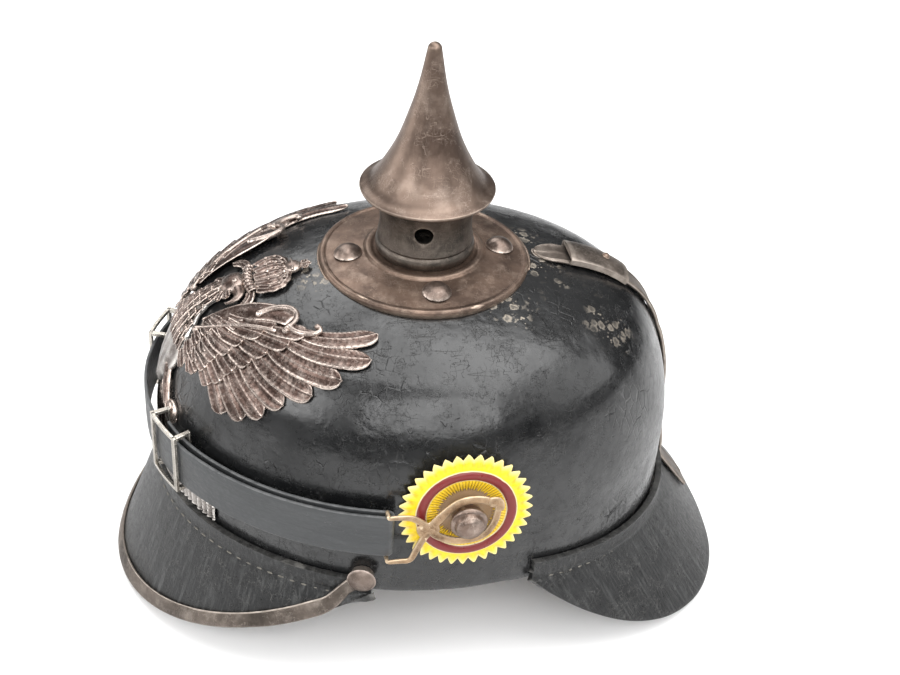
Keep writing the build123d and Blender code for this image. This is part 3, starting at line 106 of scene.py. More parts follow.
@dataclass(frozen=True)
class SkullForm:
    """The skull's outer form: a profile of arcs, stretched along Y."""

    half_width: float = 87.8
    half_length: float = 104.0
    crown_height: float = 142.5
    wall_height: float = 68.5
    shoulder_radius: float = 40.0
    crown_turn: float = math.radians(22.0)
    full_turn: float = math.radians(68.0)
    edge_height: float = 44.5
    nape_start: float = 20.0
    nape_drop: float = 8.5
    slope_step: float = 0.05
    cap_depth: float = 1.5

    @property
    def ratio(self) -> float:
        """Length over width."""
        return self.half_length / self.half_width

    @cached_property
    def arcs(self) -> Tuple[float, float, float, float]:
        """Radii of the crown and wall arcs, and the middle of the shoulder's arc across and up."""
        sin_crown, cos_crown = math.sin(self.crown_turn), math.cos(self.crown_turn)
        sin_full, cos_full = math.sin(self.full_turn), math.cos(self.full_turn)
        across = self.half_width - self.shoulder_radius * (sin_full - sin_crown)
        down = self.crown_height - self.wall_height - self.shoulder_radius * (cos_crown - cos_full)
        left, right = 1 - cos_crown, 1 - sin_full
        area = sin_crown * cos_full - left * right
        crown = (across * cos_full - right * down) / area
        wall = (sin_crown * down - left * across) / area
        gap = crown - self.shoulder_radius
        return crown, wall, gap * sin_crown, self.crown_height - crown + gap * cos_crown

    def reach(self, z: float, offset: float = 0.0) -> float:
        """Distance of the surface from the axis, measured across, at a height.

        Args:
            z: Height over the ground.
            offset: How far the surface is grown outward.

        Returns:
            The distance, or a negative number above the crown.
        """
        crown, wall, centre_x, centre_z = self.arcs
        shoulder = self.shoulder_radius + offset
        if z <= self.wall_height:
            return self.half_width + offset
        if z <= centre_z + shoulder * math.cos(self.full_turn):
            drop = z - self.wall_height
            return self.half_width - wall + math.sqrt(max((wall + offset) ** 2 - drop * drop, 0.0))
        if z <= centre_z + shoulder * math.cos(self.crown_turn):
            rise = z - centre_z
            return centre_x + math.sqrt(max(shoulder * shoulder - rise * rise, 0.0))
        rise = z - (self.crown_height - crown)
        square = (crown + offset) ** 2 - rise * rise
        return math.sqrt(square) if square >= 0 else -1.0

    def level(self, x: float, y: float, offset: float = 0.0) -> float:
        """Height of the crown or shoulder over a plan point.

        Args:
            x: Place across.
            y: Place along.
            offset: How far the surface is grown outward.

        Returns:
            The height.
        """
        crown, _, centre_x, centre_z = self.arcs
        across = math.hypot(x, y / self.ratio)
        if across <= (crown + offset) * math.sin(self.crown_turn):
            return self.crown_height - crown + math.sqrt((crown + offset) ** 2 - across * across)
        square = (self.shoulder_radius + offset) ** 2 - (across - centre_x) ** 2
        return centre_z + math.sqrt(max(square, 0.0))

    def outward(self, spot: Vector) -> Vector:
        """Level unit direction away from the straight wall at a point."""
        return Vector((spot.x, spot.y / self.ratio**2, 0)).normalized()

    def normal(self, x: float, y: float, z: float) -> Vector:
        """Outward direction of the surface at a point on it.

        Args:
            x: Place across.
            y: Place along.
            z: Height.

        Returns:
            A unit vector.
        """
        across = math.hypot(x, y / self.ratio)
        if across < self.slope_step:
            return Vector((0, 0, 1))
        if z <= self.wall_height:
            return self.outward(Vector((x, y, z)))
        fall = self.reach(z - self.slope_step) - self.reach(z + self.slope_step)
        if fall <= 0 or z > self.crown_height - self.cap_depth:
            return Vector((x, y / self.ratio**2, z - self.crown_height + self.arcs[0])).normalized()
        slope = fall / (2 * self.slope_step)
        return Vector((x / across, y / across / self.ratio**2, slope)).normalized()

    def edge(self, y: float) -> float:
        """Height of the lower edge along the helmet."""
        share = max(0.0, (y - self.nape_start) / (self.half_length - self.nape_start))
        return self.edge_height - self.nape_drop * share

    def profile(self, steps: int) -> List[Pair]:
        """Reach and height pairs from the crown down to the straight wall.

        Args:
            steps: Number of spans on each of the three arcs.

        Returns:
            The pairs.
        """
        crown, wall, centre_x, centre_z = self.arcs
        arcs = (
            (0.0, self.crown_height - crown, crown, 0.0, self.crown_turn),
            (centre_x, centre_z, self.shoulder_radius, self.crown_turn, self.full_turn),
            (self.half_width - wall, self.wall_height, wall, self.full_turn, math.pi / 2),
        )
        pairs: List[Pair] = [(0.0, self.crown_height)]
        for x, z, radius, start, end in arcs:
            for index in range(1, steps + 1):
                turn = lerp(start, end, index / steps)
                pairs.append((x + radius * math.sin(turn), z + radius * math.cos(turn)))
        return pairs


FORM = SkullForm()


def lerp(start: float, end: float, share: float) -> float:
    """Value a share of the way between two others."""
    return start + (end - start) * share


def smooth(low: float, high: float, value: float) -> float:
    """Smooth step from 0 at low to 1 at high."""
    share = min(1.0, max(0.0, (value - low) / (high - low)))
    return share * share * (3 - 2 * share)


def rounded(points: Sequence[Pair], radius: float) -> List[Pair]:
    """Profile with each inner corner cut by an arc-like curve.

    Args:
        points: Corners of the profile.
        radius: Length taken off each run beside a corner, less where the run is short.

    Returns:
        The new corners.
    """
    spans, most = 3, 0.45
    out: List[Pair] = [points[0]]
    for before, corner, after in zip(points, points[1:], points[2:]):
        here = Vector(corner)
        back, ahead = Vector(before) - here, Vector(after) - here
        start = here + back.normalized() * min(radius, back.length * most)
        end = here + ahead.normalized() * min(radius, ahead.length * most)
        for index in range(spans + 1):
            share = index / spans
            out.append(tuple(start.lerp(here, share).lerp(here.lerp(end, share), share)))
    out.append(points[-1])
    return out


def bezier(points: Sequence[Pair], share: float) -> Tuple[Vector, Vector]:
    """Point and direction on a curve with any number of control points.

    Args:
        points: Control points.
        share: Place on the curve from 0 to 1.

    Returns:
        The point and the unit direction, both in the plane.
    """
    level = [Vector(point) for point in points]
    while len(level) > 2:
        level = [a.lerp(b, share) for a, b in zip(level, level[1:])]
    return level[0].lerp(level[1], share), (level[1] - level[0]).normalized()


def through(points: Sequence[Sequence[float]], share: float) -> Vector:
    """Point of a smooth curve that passes through every point given.

    Args:
        points: The points.
        share: Place on the curve from 0 to 1.

    Returns:
        The point.
    """
    spot = min(max(share, 0.0), 1.0) * (len(points) - 1)
    index = min(int(spot), len(points) - 2)
    rest = spot - index
    second, third = Vector(points[index]), Vector(points[index + 1])
    first = Vector(points[index - 1]) if index else second * 2 - third
    fourth = Vector(points[index + 2]) if index + 2 < len(points) else third * 2 - second
    return 0.5 * (
        second * 2
        + (third - first) * rest
        + (first * 2 - second * 5 + third * 4 - fourth) * rest**2
        + (second * 3 - first - third * 3 + fourth) * rest**3
    )


def running_lengths(line: Sequence[Vector]) -> List[float]:
    """Distance along a line at each of its points."""
    lengths = [0.0]
    for before, after in zip(line, line[1:]):
        lengths.append(lengths[-1] + (after - before).length)
    return lengths


def walked(line: Sequence[Vector], lengths: Sequence[float], distance: float) -> Vector:
    """Point at a distance along a line.

    Args:
        line: The line's points.
        lengths: Its running lengths.
        distance: How far to go, kept within the line.

    Returns:
        The point.
    """
    distance = min(max(distance, 0.0), lengths[-1])
    low = min(bisect_right(lengths, distance), len(lengths) - 1) - 1
    return line[low].lerp(line[low + 1], (distance - lengths[low]) / max(lengths[low + 1] - lengths[low], 1e-9))


def grid(across: int, along: int, place: Callable[[float, float], Vector], merge: bool = False) -> Mesh:
    """Grid whose vertices are moved onto a surface.

    Args:
        across: Spans in the first direction.
        along: Spans in the second direction.
        place: Point of the surface for two shares from 0 to 1.
        merge: Whether seams and poles are welded.

    Returns:
        The mesh, with the shares kept as its UV map.
    """
    bm = bmesh.new()
    bm.loops.layers.uv.new("UVMap")
    bmesh.ops.create_grid(bm, x_segments=across, y_segments=along, size=0.5, calc_uvs=True)
    for vert in bm.verts:
        vert.co = place(vert.co.x + 0.5, vert.co.y + 0.5)
    if merge:
        bmesh.ops.remove_doubles(bm, verts=bm.verts, dist=WELD)
    return bm


def spun(points: Sequence[Pair], steps: int) -> Mesh:
    """Turned shape from reach and height pairs.

    Args:
        points: The profile.
        steps: Spans round the axis.

    Returns:
        The mesh.
    """
    bm = bmesh.new()
    verts = [bm.verts.new((reach, 0, height)) for reach, height in points]
    edges = [bm.edges.new(pair) for pair in zip(verts, verts[1:])]
    bmesh.ops.spin(
        bm, geom=verts + edges, axis=(0, 0, 1), cent=(0, 0, 0), angle=2 * math.pi, steps=steps, use_merge=True
    )
    bmesh.ops.remove_doubles(bm, verts=bm.verts, dist=WELD)
    bmesh.ops.recalc_face_normals(bm, faces=bm.faces)
    return bm


def stand(bm: Mesh, origin: Vector, up: Vector, ahead: Optional[Vector] = None) -> Mesh:
    """Stand a mesh made on Z at a place.

    Args:
        bm: The mesh.
        origin: Where its origin goes.
        up: Where its Z goes.
        ahead: Where its X goes, as near as it can.

    Returns:
        The same mesh.
    """
    axis_z = up.normalized()
    guide = ahead if ahead is not None else Vector((1, 0, 0)) if abs(axis_z.x) < 0.9 else Vector((0, 1, 0))
    axis_y = axis_z.cross(guide).normalized()
    axis_x = axis_y.cross(axis_z)
    turn = Matrix((axis_x, axis_y, axis_z)).transposed().to_4x4()
    bmesh.ops.transform(bm, matrix=Matrix.Translation(origin) @ turn, verts=bm.verts)
    return bm


def joined(parts: Iterable[Mesh]) -> Mesh:
    """One mesh from several, which are freed.

    Args:
        parts: The meshes.

    Returns:
        The new mesh.
    """
    bm = bmesh.new()
    for part in parts:
        mesh = bpy.data.meshes.new("part")
        part.to_mesh(mesh)
        part.free()
        bm.from_mesh(mesh)
        bpy.data.meshes.remove(mesh)
    return bm


def mirrored(bm: Mesh) -> Mesh:
    """The mirror image of a mesh across the middle plane.

    Args:
        bm: The mesh, which is changed.

    Returns:
        The same mesh, its faces still outward.
    """
    bmesh.ops.scale(bm, vec=(-1, 1, 1), verts=bm.verts)
    bmesh.ops.reverse_faces(bm, faces=bm.faces)
    return bm


def faced(bm: Mesh, toward: Vector) -> Mesh:
    """Turn a sheet's faces so that the one farthest along a direction looks that way.

    Args:
        bm: The sheet.
        toward: The direction.

    Returns:
        The same mesh.
    """
    bm.normal_update()
    far = max(bm.faces, key=lambda face: face.calc_center_median().dot(toward))
    if far.normal.dot(toward) < 0:
        bmesh.ops.reverse_faces(bm, faces=bm.faces)
    return bm


def tube(path: Callable[[float], Vector], radius: Callable[[float], float], along: int) -> Mesh:
    """Tube with domed ends along a path.

    Args:
        path: Point of the path for a share from 0 to 1.
        radius: Radius for a share.
        along: Spans along the path.

    Returns:
        The mesh.
    """
    round_spans = 10
    cap_share, cap_depth = 0.04, 0.8
    step = 0.5 / along

    def place(turn: float, share: float) -> Vector:
        """Point of the tube's skin."""
        inner = min(max((share - cap_share) / (1 - 2 * cap_share), 0.0), 1.0)
        past_end = (share - 1 + cap_share) / cap_share
        over = max(1 - share / cap_share, past_end, 0.0)
        ahead = (path(min(inner + step, 1.0)) - path(max(inner - step, 0.0))).normalized()
        guide = Vector((0, 0, 1)) if abs(ahead.z) < 0.9 else Vector((1, 0, 0))
        first = (guide - ahead * guide.dot(ahead)).normalized()
        angle = 2 * math.pi * turn
        skin = first * math.cos(angle) + ahead.cross(first) * math.sin(angle)
        size = radius(inner)
        push = ahead * (math.copysign(over, past_end) * size * cap_depth)
        return path(inner) + push + skin * (size * math.sqrt(max(0.0, 1 - over * over)))

    bm = grid(round_spans, along, place, merge=True)
    bmesh.ops.recalc_face_normals(bm, faces=bm.faces)
    return bm


def ball(radius: float, spans: int, rings: int, factors: Point = (1, 1, 1)) -> Mesh:
    """Ball stretched along its axes.

    Args:
        radius: Its radius.
        spans: Faces round it.
        rings: Faces from pole to pole.
        factors: How much it is stretched in each direction.

    Returns:
        The mesh.
    """
    bm = bmesh.new()
    bmesh.ops.create_uvsphere(bm, u_segments=spans, v_segments=rings, radius=radius)
    bmesh.ops.scale(bm, vec=factors, verts=bm.verts)
    return bm


def paired(left: Mesh) -> Tuple[Tuple[Side, Mesh], ...]:
    """A mesh of the wearer's left and its mirror image, each with its side."""
    return (Side.LEFT, left), (Side.RIGHT, mirrored(left.copy()))


def mesh_object(name: str, bm: Mesh, material: bpy.types.Material) -> bpy.types.Object:
    """Put a mesh into the scene.

    Args:
        name: Its name.
        bm: The mesh, freed here.
        material: Its finish.

    Returns:
        The object.
    """
    mesh = bpy.data.meshes.new(name)
    bm.to_mesh(mesh)
    bm.free()
    mesh.materials.append(material)
    return scene_object(name, mesh)


def scene_object(name: str, data: bpy.types.ID) -> bpy.types.Object:
    """Object in the scene for some data."""
    obj = bpy.data.objects.new(name, data)
    bpy.context.scene.collection.objects.link(obj)
    return obj


def piece(name: str, bm: Mesh, material: bpy.types.Material, body: Body, replaces: Sequence[str] = (),
          slot: Optional[str] = None, sharp: float = 40.0, wall: float = 0.0, bevel: float = 0.0) -> None:
    """Finish a mesh as one piece of the helmet.

    Args:
        name: The piece's name.
        bm: Its mesh in millimetres, freed here.
        material: Its finish.
        body: The body it rides on.
        replaces: CAD nodes it stands for.
        slot: Material slot of the record; not used.
        sharp: Edges steeper than this, in degrees, stay crisp.
        wall: Thickness given to a sheet, inward, in millimetres.
        bevel: Width of a bevel on steep edges, in millimetres.
    """
    bevel_segments, bevel_from = 2, math.radians(50)
    bmesh.ops.scale(bm, vec=(MM, MM, MM), verts=bm.verts)
    bmesh.ops.translate(bm, vec=(0, SHIFT_Y * MM, 0), verts=bm.verts)
    for face in bm.faces:
        face.smooth = True
    for edge in bm.edges:
        if len(edge.link_faces) == 2 and edge.calc_face_angle(0.0) > math.radians(sharp):
            edge.smooth = False
    obj = mesh_object(name, bm, material)
    if wall:
        solid = obj.modifiers.new("Wall", "SOLIDIFY")
        solid.thickness = wall * MM
        solid.offset = -1.0
        solid.use_even_offset = False
    if bevel:
        edge_round = obj.modifiers.new("Edges", "BEVEL")
        edge_round.width = bevel * MM
        edge_round.segments = bevel_segments
        edge_round.limit_method = "ANGLE"
        edge_round.angle_limit = bevel_from
    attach(obj, body.value)
    if replaces:
        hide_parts(*replaces)
    LOG.info("%s: %d faces", name, len(obj.data.polygons))


# Finishes


class Weaver:
    """Adds nodes to a node tree and links them."""

    def __init__(self, tree: bpy.types.NodeTree) -> None:
        """Keep the tree.

        Args:
            tree: A material's or group's tree.
        """
        self.tree = tree

    def feed(self, target: Socket, value: object) -> None:
        """Link or set an input.

        Args:
            target: The input.
            value: A socket or a constant.
        """
        if isinstance(value, Socket):
            self.tree.links.new(value, target)
        else:
            target.default_value = value

    def add(self, kind: str, values: Optional[Dict] = None, **settings: object) -> bpy.types.Node:
        """Add a node.

        Args:
            kind: Its type.
            values: Sockets or constants for its inputs, by name or index.
            settings: Its own settings.

        Returns:
            The node.
        """
        node = self.tree.nodes.new(kind)
        for key, value in settings.items():
            setattr(node, key, value)
        for key, value in (values or {}).items():
            self.feed(node.inputs[key], value)
        return node

    def pointiness(self) -> Socket:
        """How far the surface stands out or is sunk, 0.5 where it is flat."""
        return self.add("ShaderNodeNewGeometry").outputs["Pointiness"]

    def place(self) -> Socket:
        """Object coordinates."""
        return self.add("ShaderNodeTexCoord").outputs["Object"]

    def stretched(self, vector: Socket, factors: Point, turn: Point = (0, 0, 0)) -> Socket:
        """Coordinates turned and stretched.

        Args:
            vector: The coordinates.
            factors: Scale in each direction.
            turn: Rotation in degrees.

        Returns:
            The new coordinates.
        """
        values = {"Vector": vector, "Rotation": [math.radians(v) for v in turn], "Scale": factors}
        return self.add("ShaderNodeMapping", values).outputs["Vector"]

    def noise(self, vector: Socket, scale: object, detail: float = 4.0,
              rough: float = 0.55) -> Socket:
        """Cloudy noise.

        Args:
            vector: Coordinates.
            scale: Cells in a metre.
            detail: Octaves.
            rough: Weight of the finer octaves.

        Returns:
            Values about 0 to 1.
        """
        values = {"Vector": vector, "Scale": scale, "Detail": detail, "Roughness": rough}
        return self.add("ShaderNodeTexNoise", values).outputs["Fac"]

    def cells(self, vector: Socket, scale: object, feature: str = "F1") -> Socket:
        """Distance within a pattern of cells.

        Args:
            vector: Coordinates.
            scale: Cells in a metre.
            feature: Which distance.

        Returns:
            The distance.
        """
        values = {"Vector": vector, "Scale": scale}
        return self.add("ShaderNodeTexVoronoi", values, feature=feature).outputs["Distance"]

    def math(self, operation: str, first: object, second: object = 0.0, clamp: bool = False) -> Socket:
        """Arithmetic on two values.

        Args:
            operation: Its name.
            first: First value.
            second: Second value.
            clamp: Whether to keep the result from 0 to 1.

        Returns:
            The result.
        """
        return self.add("ShaderNodeMath", {0: first, 1: second}, operation=operation, use_clamp=clamp).outputs[0]

    def times(self, first: object, second: object, clamp: bool = False) -> Socket:
        """Product of two values."""
        return self.math("MULTIPLY", first, second, clamp)

    def plus(self, first: object, second: object, clamp: bool = False) -> Socket:
        """Sum of two values."""
        return self.math("ADD", first, second, clamp)

    def minus(self, first: object, second: object, clamp: bool = False) -> Socket:
        """First value less the second."""
        return self.math("SUBTRACT", first, second, clamp)

    def between(self, value: object, low: object, high: object, start: object = 0.0,
                end: object = 1.0) -> Socket:
        """Value mapped from one range to another, kept inside it.

        Args:
            value: What to map.
            low: Start of its range.
            high: End of its range.
            start: Result at the start.
            end: Result at the end.

        Returns:
            The result.
        """
        values = {"Value": value, "From Min": low, "From Max": high, "To Min": start, "To Max": end}
        return self.add("ShaderNodeMapRange", values).outputs["Result"]

    def mix(self, share: object, first: object, second: object) -> Socket:
        """Colour between two others.

        Args:
            share: How much of the second.
            first: First colour.
            second: Second colour.

        Returns:
            The colour.
        """
        colours = [value if isinstance(value, Socket) else (*value, 1.0) for value in (first, second)]
        return self.add("ShaderNodeMix", {0: share, 6: colours[0], 7: colours[1]}, data_type="RGBA").outputs[2]

    def bump(self, height: Socket, distance: float,
             normal: Optional[Socket] = None) -> Socket:
        """Normal bent by a height.

        Args:
            height: The height.
            distance: What a height of 1 stands for, in metres.
            normal: Normal to start from.

        Returns:
            The normal.
        """
        values = {"Height": height, "Distance": distance, "Strength": 1.0}
        if normal is not None:
            values["Normal"] = normal
        return self.add("ShaderNodeBump", values).outputs["Normal"]

    def effect(self, group: bpy.types.NodeTree, **values: object) -> Socket:
        """Place a shared effect.

        Args:
            group: The effect's node group.
            values: Its inputs.

        Returns:
            Its first output.
        """
        return self.add("ShaderNodeGroup", values, node_tree=group).outputs[0]

    def surface(self, shader: bpy.types.Node, colour: object, rough: object, normal: object) -> None:
        """Give a surface shader what every finish has.

        Args:
            shader: The shader.
            colour: Its colour.
            rough: Its roughness.
            normal: Its normal.
        """
        for key, value in (("Base Color", colour), ("Roughness", rough), ("Normal", normal)):
            self.feed(shader.inputs[key], value)


class Effects:
    """The shared effects, each built once as a node group."""

    def __init__(self) -> None:
        """Build every group."""
        self.mottle = self._make("Mottle", {"Scale": 40.0, "Low": 0.4, "High": 0.6}, self._mottle)
        self.scratches = self._make("Scratches", {"Scale": 60.0, "Width": 0.01, "Amount": 0.5}, self._scratches)
        self.specks = self._make("Specks", {"Scale": 300.0, "Size": 0.2, "Amount": 0.5}, self._specks)
        self.edges = self._make("Edge Light", {"Low": 0.51, "High": 0.56, "Break": 0.5}, self._edges)
        self.grain = self._make("Grain", {"Scale": 500.0, "Creases": 0.5}, self._grain)

    @staticmethod
    def _make(name: str, inputs: Dict[str, float], fill: Callable) -> bpy.types.NodeTree:
        """Build one group.

        Args:
            name: Its name.
            inputs: Its inputs and their usual values.
            fill: Function that adds its nodes and gives its result.

        Returns:
            The group.
        """
        tree = bpy.data.node_groups.new(name, "ShaderNodeTree")
        for key, value in inputs.items():
            tree.interface.new_socket(key, in_out="INPUT", socket_type="NodeSocketFloat").default_value = value
        tree.interface.new_socket("Mask", in_out="OUTPUT", socket_type="NodeSocketFloat")
        weaver = Weaver(tree)
        start = weaver.add("NodeGroupInput")
        result = fill(weaver, start.outputs)
        weaver.add("NodeGroupOutput", {"Mask": result})
        return tree

    @staticmethod
    def _mottle(w: Weaver, given: bpy.types.NodeOutputs) -> Socket:
        """Soft cloudy patches."""
        return w.between(w.noise(w.place(), given["Scale"], 6.0, 0.62), given["Low"], given["High"])

    @staticmethod
    def _scratches(w: Weaver, given: bpy.types.NodeOutputs) -> Socket:
        """Thin broken lines in three directions."""
        total = None
        for factors, turn in (((1, 9, 9), (20, 10, 25)), ((9, 1, 9), (-15, 30, -20)), ((8, 8, 1), (10, -25, 60))):
            line = w.noise(w.stretched(w.place(), factors, turn), given["Scale"], 1.5, 0.4)
            near = w.math("ABSOLUTE", w.minus(line, 0.5))
            thin = w.between(near, 0.0, given["Width"], 1.0, 0.0)
            total = thin if total is None else w.math("MAXIMUM", total, thin)
        broken = w.noise(w.stretched(w.place(), (1, 1, 1), (0, 0, 40)), w.times(given["Scale"], 2.2), 3.0)
        gate = w.math("LESS_THAN", broken, w.between(given["Amount"], 0.0, 1.0, 0.3, 0.7))
        return w.times(total, gate)

    @staticmethod
    def _specks(w: Weaver, given: bpy.types.NodeOutputs) -> Socket:
        """Small irregular spots in clusters."""
        warp = w.noise(w.place(), w.times(given["Scale"], 1.7), 3.0)
        spot = w.plus(w.cells(w.place(), given["Scale"]), w.times(warp, 0.25))
        near = w.between(spot, given["Size"], w.plus(given["Size"], 0.06), 1.0, 0.0)
        patch = w.noise(w.place(), w.times(given["Scale"], 0.21), 3.0)
        gate = w.between(patch, w.between(given["Amount"], 0.0, 1.0, 0.7, 0.3), 0.72)
        return w.times(near, w.times(gate, 3.0, True), True)

    @staticmethod
    def _edges(w: Weaver, given: bpy.types.NodeOutputs) -> Socket:
        """Rubbed edges and ridges."""
        sharp = w.pointiness()
        line = w.between(sharp, given["Low"], given["High"])
        patch = w.between(w.noise(w.place(), 260.0, 4.0), 0.35, 0.6)
        rub = w.minus(1.0, w.times(given["Break"], w.minus(1.0, patch)))
        return w.times(line, rub, True)

    @staticmethod
    def _grain(w: Weaver, given: bpy.types.NodeOutputs) -> Socket:
        """Leather grain with fine creases."""
        pebble = w.cells(w.place(), given["Scale"], "SMOOTH_F1")
        crease = w.noise(w.stretched(w.place(), (1, 1, 3)), w.times(given["Scale"], 0.25), 5.0, 0.65)
        return w.plus(w.times(pebble, 0.6), w.times(crease, given["Creases"]))


def fresh_material(name: str, metallic: float) -> Tuple[bpy.types.Material, Weaver, bpy.types.Node]:
    """New material with a plain surface shader.

    Args:
        name: Its name.
        metallic: How metallic it is.

    Returns:
        The material, a weaver on its tree and the shader.
    """
    material = bpy.data.materials.new(name)
    material.use_nodes = True
    material.node_tree.nodes.clear()
    weaver = Weaver(material.node_tree)
    shader = weaver.add("ShaderNodeBsdfPrincipled", {"Metallic": metallic})
    weaver.add("ShaderNodeOutputMaterial", {"Surface": shader.outputs["BSDF"]})
    return material, weaver, shader


@dataclass(frozen=True)
class MetalFinish:
    """Aged metal: clouds of tarnish, fine scratches, pitting, rubbed edges, and painted shade that darkens its
    hollows.
    """

    name: str
    base: Colour
    dark: Colour
    light: Colour
    rough_low: float = 0.28
    rough_high: float = 0.5
    metallic: float = 0.9
    clouds: float = 55.0
    edge_low: float = 0.515
    edge_high: float = 0.57
    scratch: float = 0.5
    pits: float = 0.3
    light_clouds: float = 0.35
    brushed: Point = (1.0, 1.0, 1.0)
    # How strongly hollows are darkened with painted shade.
    hollow_shade: float = 0.3

    def build(self, effects: Effects) -> bpy.types.Material:
        """Make the material.

        Args:
            effects: The shared effects.

        Returns:
            The material.
        """
        material, w, shader = fresh_material(self.name, self.metallic)
        dark = w.effect(effects.mottle, Scale=self.clouds, Low=0.42, High=0.66)
        pale = w.effect(effects.mottle, Scale=self.clouds * 2.7, Low=0.5, High=0.75)
        pits = w.effect(effects.specks, Scale=self.clouds * 14, Size=0.16, Amount=self.pits)
        rub = w.effect(effects.edges, Low=self.edge_low, High=self.edge_high, Break=0.5)
        lines = w.effect(effects.scratches, Scale=self.clouds * 1.3, Width=0.012, Amount=self.scratch)
        colour = w.mix(dark, self.base, self.dark)
        colour = w.mix(w.times(pale, self.light_clouds), colour, self.light)
        colour = w.mix(w.times(pits, 0.7), colour, tuple(v * 0.35 for v in self.dark))
        colour = w.mix(w.times(lines, 0.35), colour, self.light)
        colour = w.mix(rub, colour, self.light)
        # Painted shade: sunk places, found by pointiness, are darkened towards a deep shade of the dark colour, as
        # if shadowed.
        sunk = w.between(w.pointiness(), 0.43, 0.5, 1.0, 0.0)
        colour = w.mix(w.times(sunk, self.hollow_shade), colour, tuple(v * 0.3 for v in self.dark))
        grit = w.noise(w.stretched(w.place(), self.brushed), self.clouds * 16, 5.0, 0.7)
        rough = w.between(grit, 0.3, 0.7, self.rough_low, self.rough_high)
        rough = w.plus(rough, w.times(pits, 0.25), True)
        rough = w.minus(rough, w.times(rub, 0.1), True)
        height = w.minus(w.times(grit, 0.6), w.times(pits, 0.8))
        height = w.minus(height, w.times(lines, 0.35))
        lumps = w.noise(w.place(), self.clouds * 3, 2.0)
        normal = w.bump(height, 0.00006, w.bump(lumps, 0.0002))
        w.surface(shader, colour, rough, normal)
        return material


@dataclass(frozen=True)
class LeatherFinish:
    """Worn leather: grain, streaks along the piece, cracks and rubbed edges."""

    name: str
    base: Colour
    worn: Colour
    edge: Colour
    rough: float = 0.5
    gloss: float = 0.35
    grain: float = 620.0
    streaks: Point = (60.0, 60.0, 9.0)
    worn_share: float = 0.5
    edge_low: float = 0.52
    edge_high: float = 0.6
    crack: float = 0.5
    guide: str = "Object"

    def build(self, effects: Effects) -> bpy.types.Material:
        """Make the material.

        Args:
            effects: The shared effects.

        Returns:
            The material.
        """
        material, w, shader = fresh_material(self.name, 0.0)
        shader.inputs["Specular IOR Level"].default_value = self.gloss
        run = w.stretched(w.add("ShaderNodeTexCoord").outputs[self.guide], self.streaks)
        streak = w.noise(run, 3.0, 7.0, 0.68)
        patch = w.effect(effects.mottle, Scale=22.0, Low=0.38, High=0.62)
        fine = w.noise(run, 14.0, 4.0, 0.7)
        worn = w.times(w.between(streak, 0.49, 0.7), w.between(patch, 0.0, 1.0, 0.35, 1.0))
        rub = w.effect(effects.edges, Low=self.edge_low, High=self.edge_high, Break=0.7)
        lines = w.effect(effects.scratches, Scale=48.0, Width=0.01, Amount=self.crack)
        specks = w.effect(effects.specks, Scale=700.0, Size=0.12, Amount=0.35)
        colour = w.mix(w.times(worn, self.worn_share), self.base, self.worn)
        colour = w.mix(w.times(w.between(fine, 0.6, 0.75), self.worn_share * 0.6), colour, self.worn)
        colour = w.mix(w.times(lines, 0.35), colour, self.edge)
        colour = w.mix(w.times(specks, 0.4), colour, self.edge)
        colour = w.mix(rub, colour, self.edge)
        grain = w.effect(effects.grain, Scale=self.grain, Creases=0.8)
        rough = w.plus(self.rough, w.times(worn, 0.14))
        rough = w.plus(rough, w.between(grain, 0.3, 0.8, -0.08, 0.08), True)
        lumps = w.noise(w.place(), 30.0, 3.0)
        normal = w.bump(lumps, 0.0011)
        normal = w.bump(w.plus(streak, w.times(fine, 0.4)), 0.00035, normal)
        normal = w.bump(w.minus(grain, w.times(lines, 0.8)), 0.00014, normal)
        w.surface(shader, colour, rough, normal)
        return material


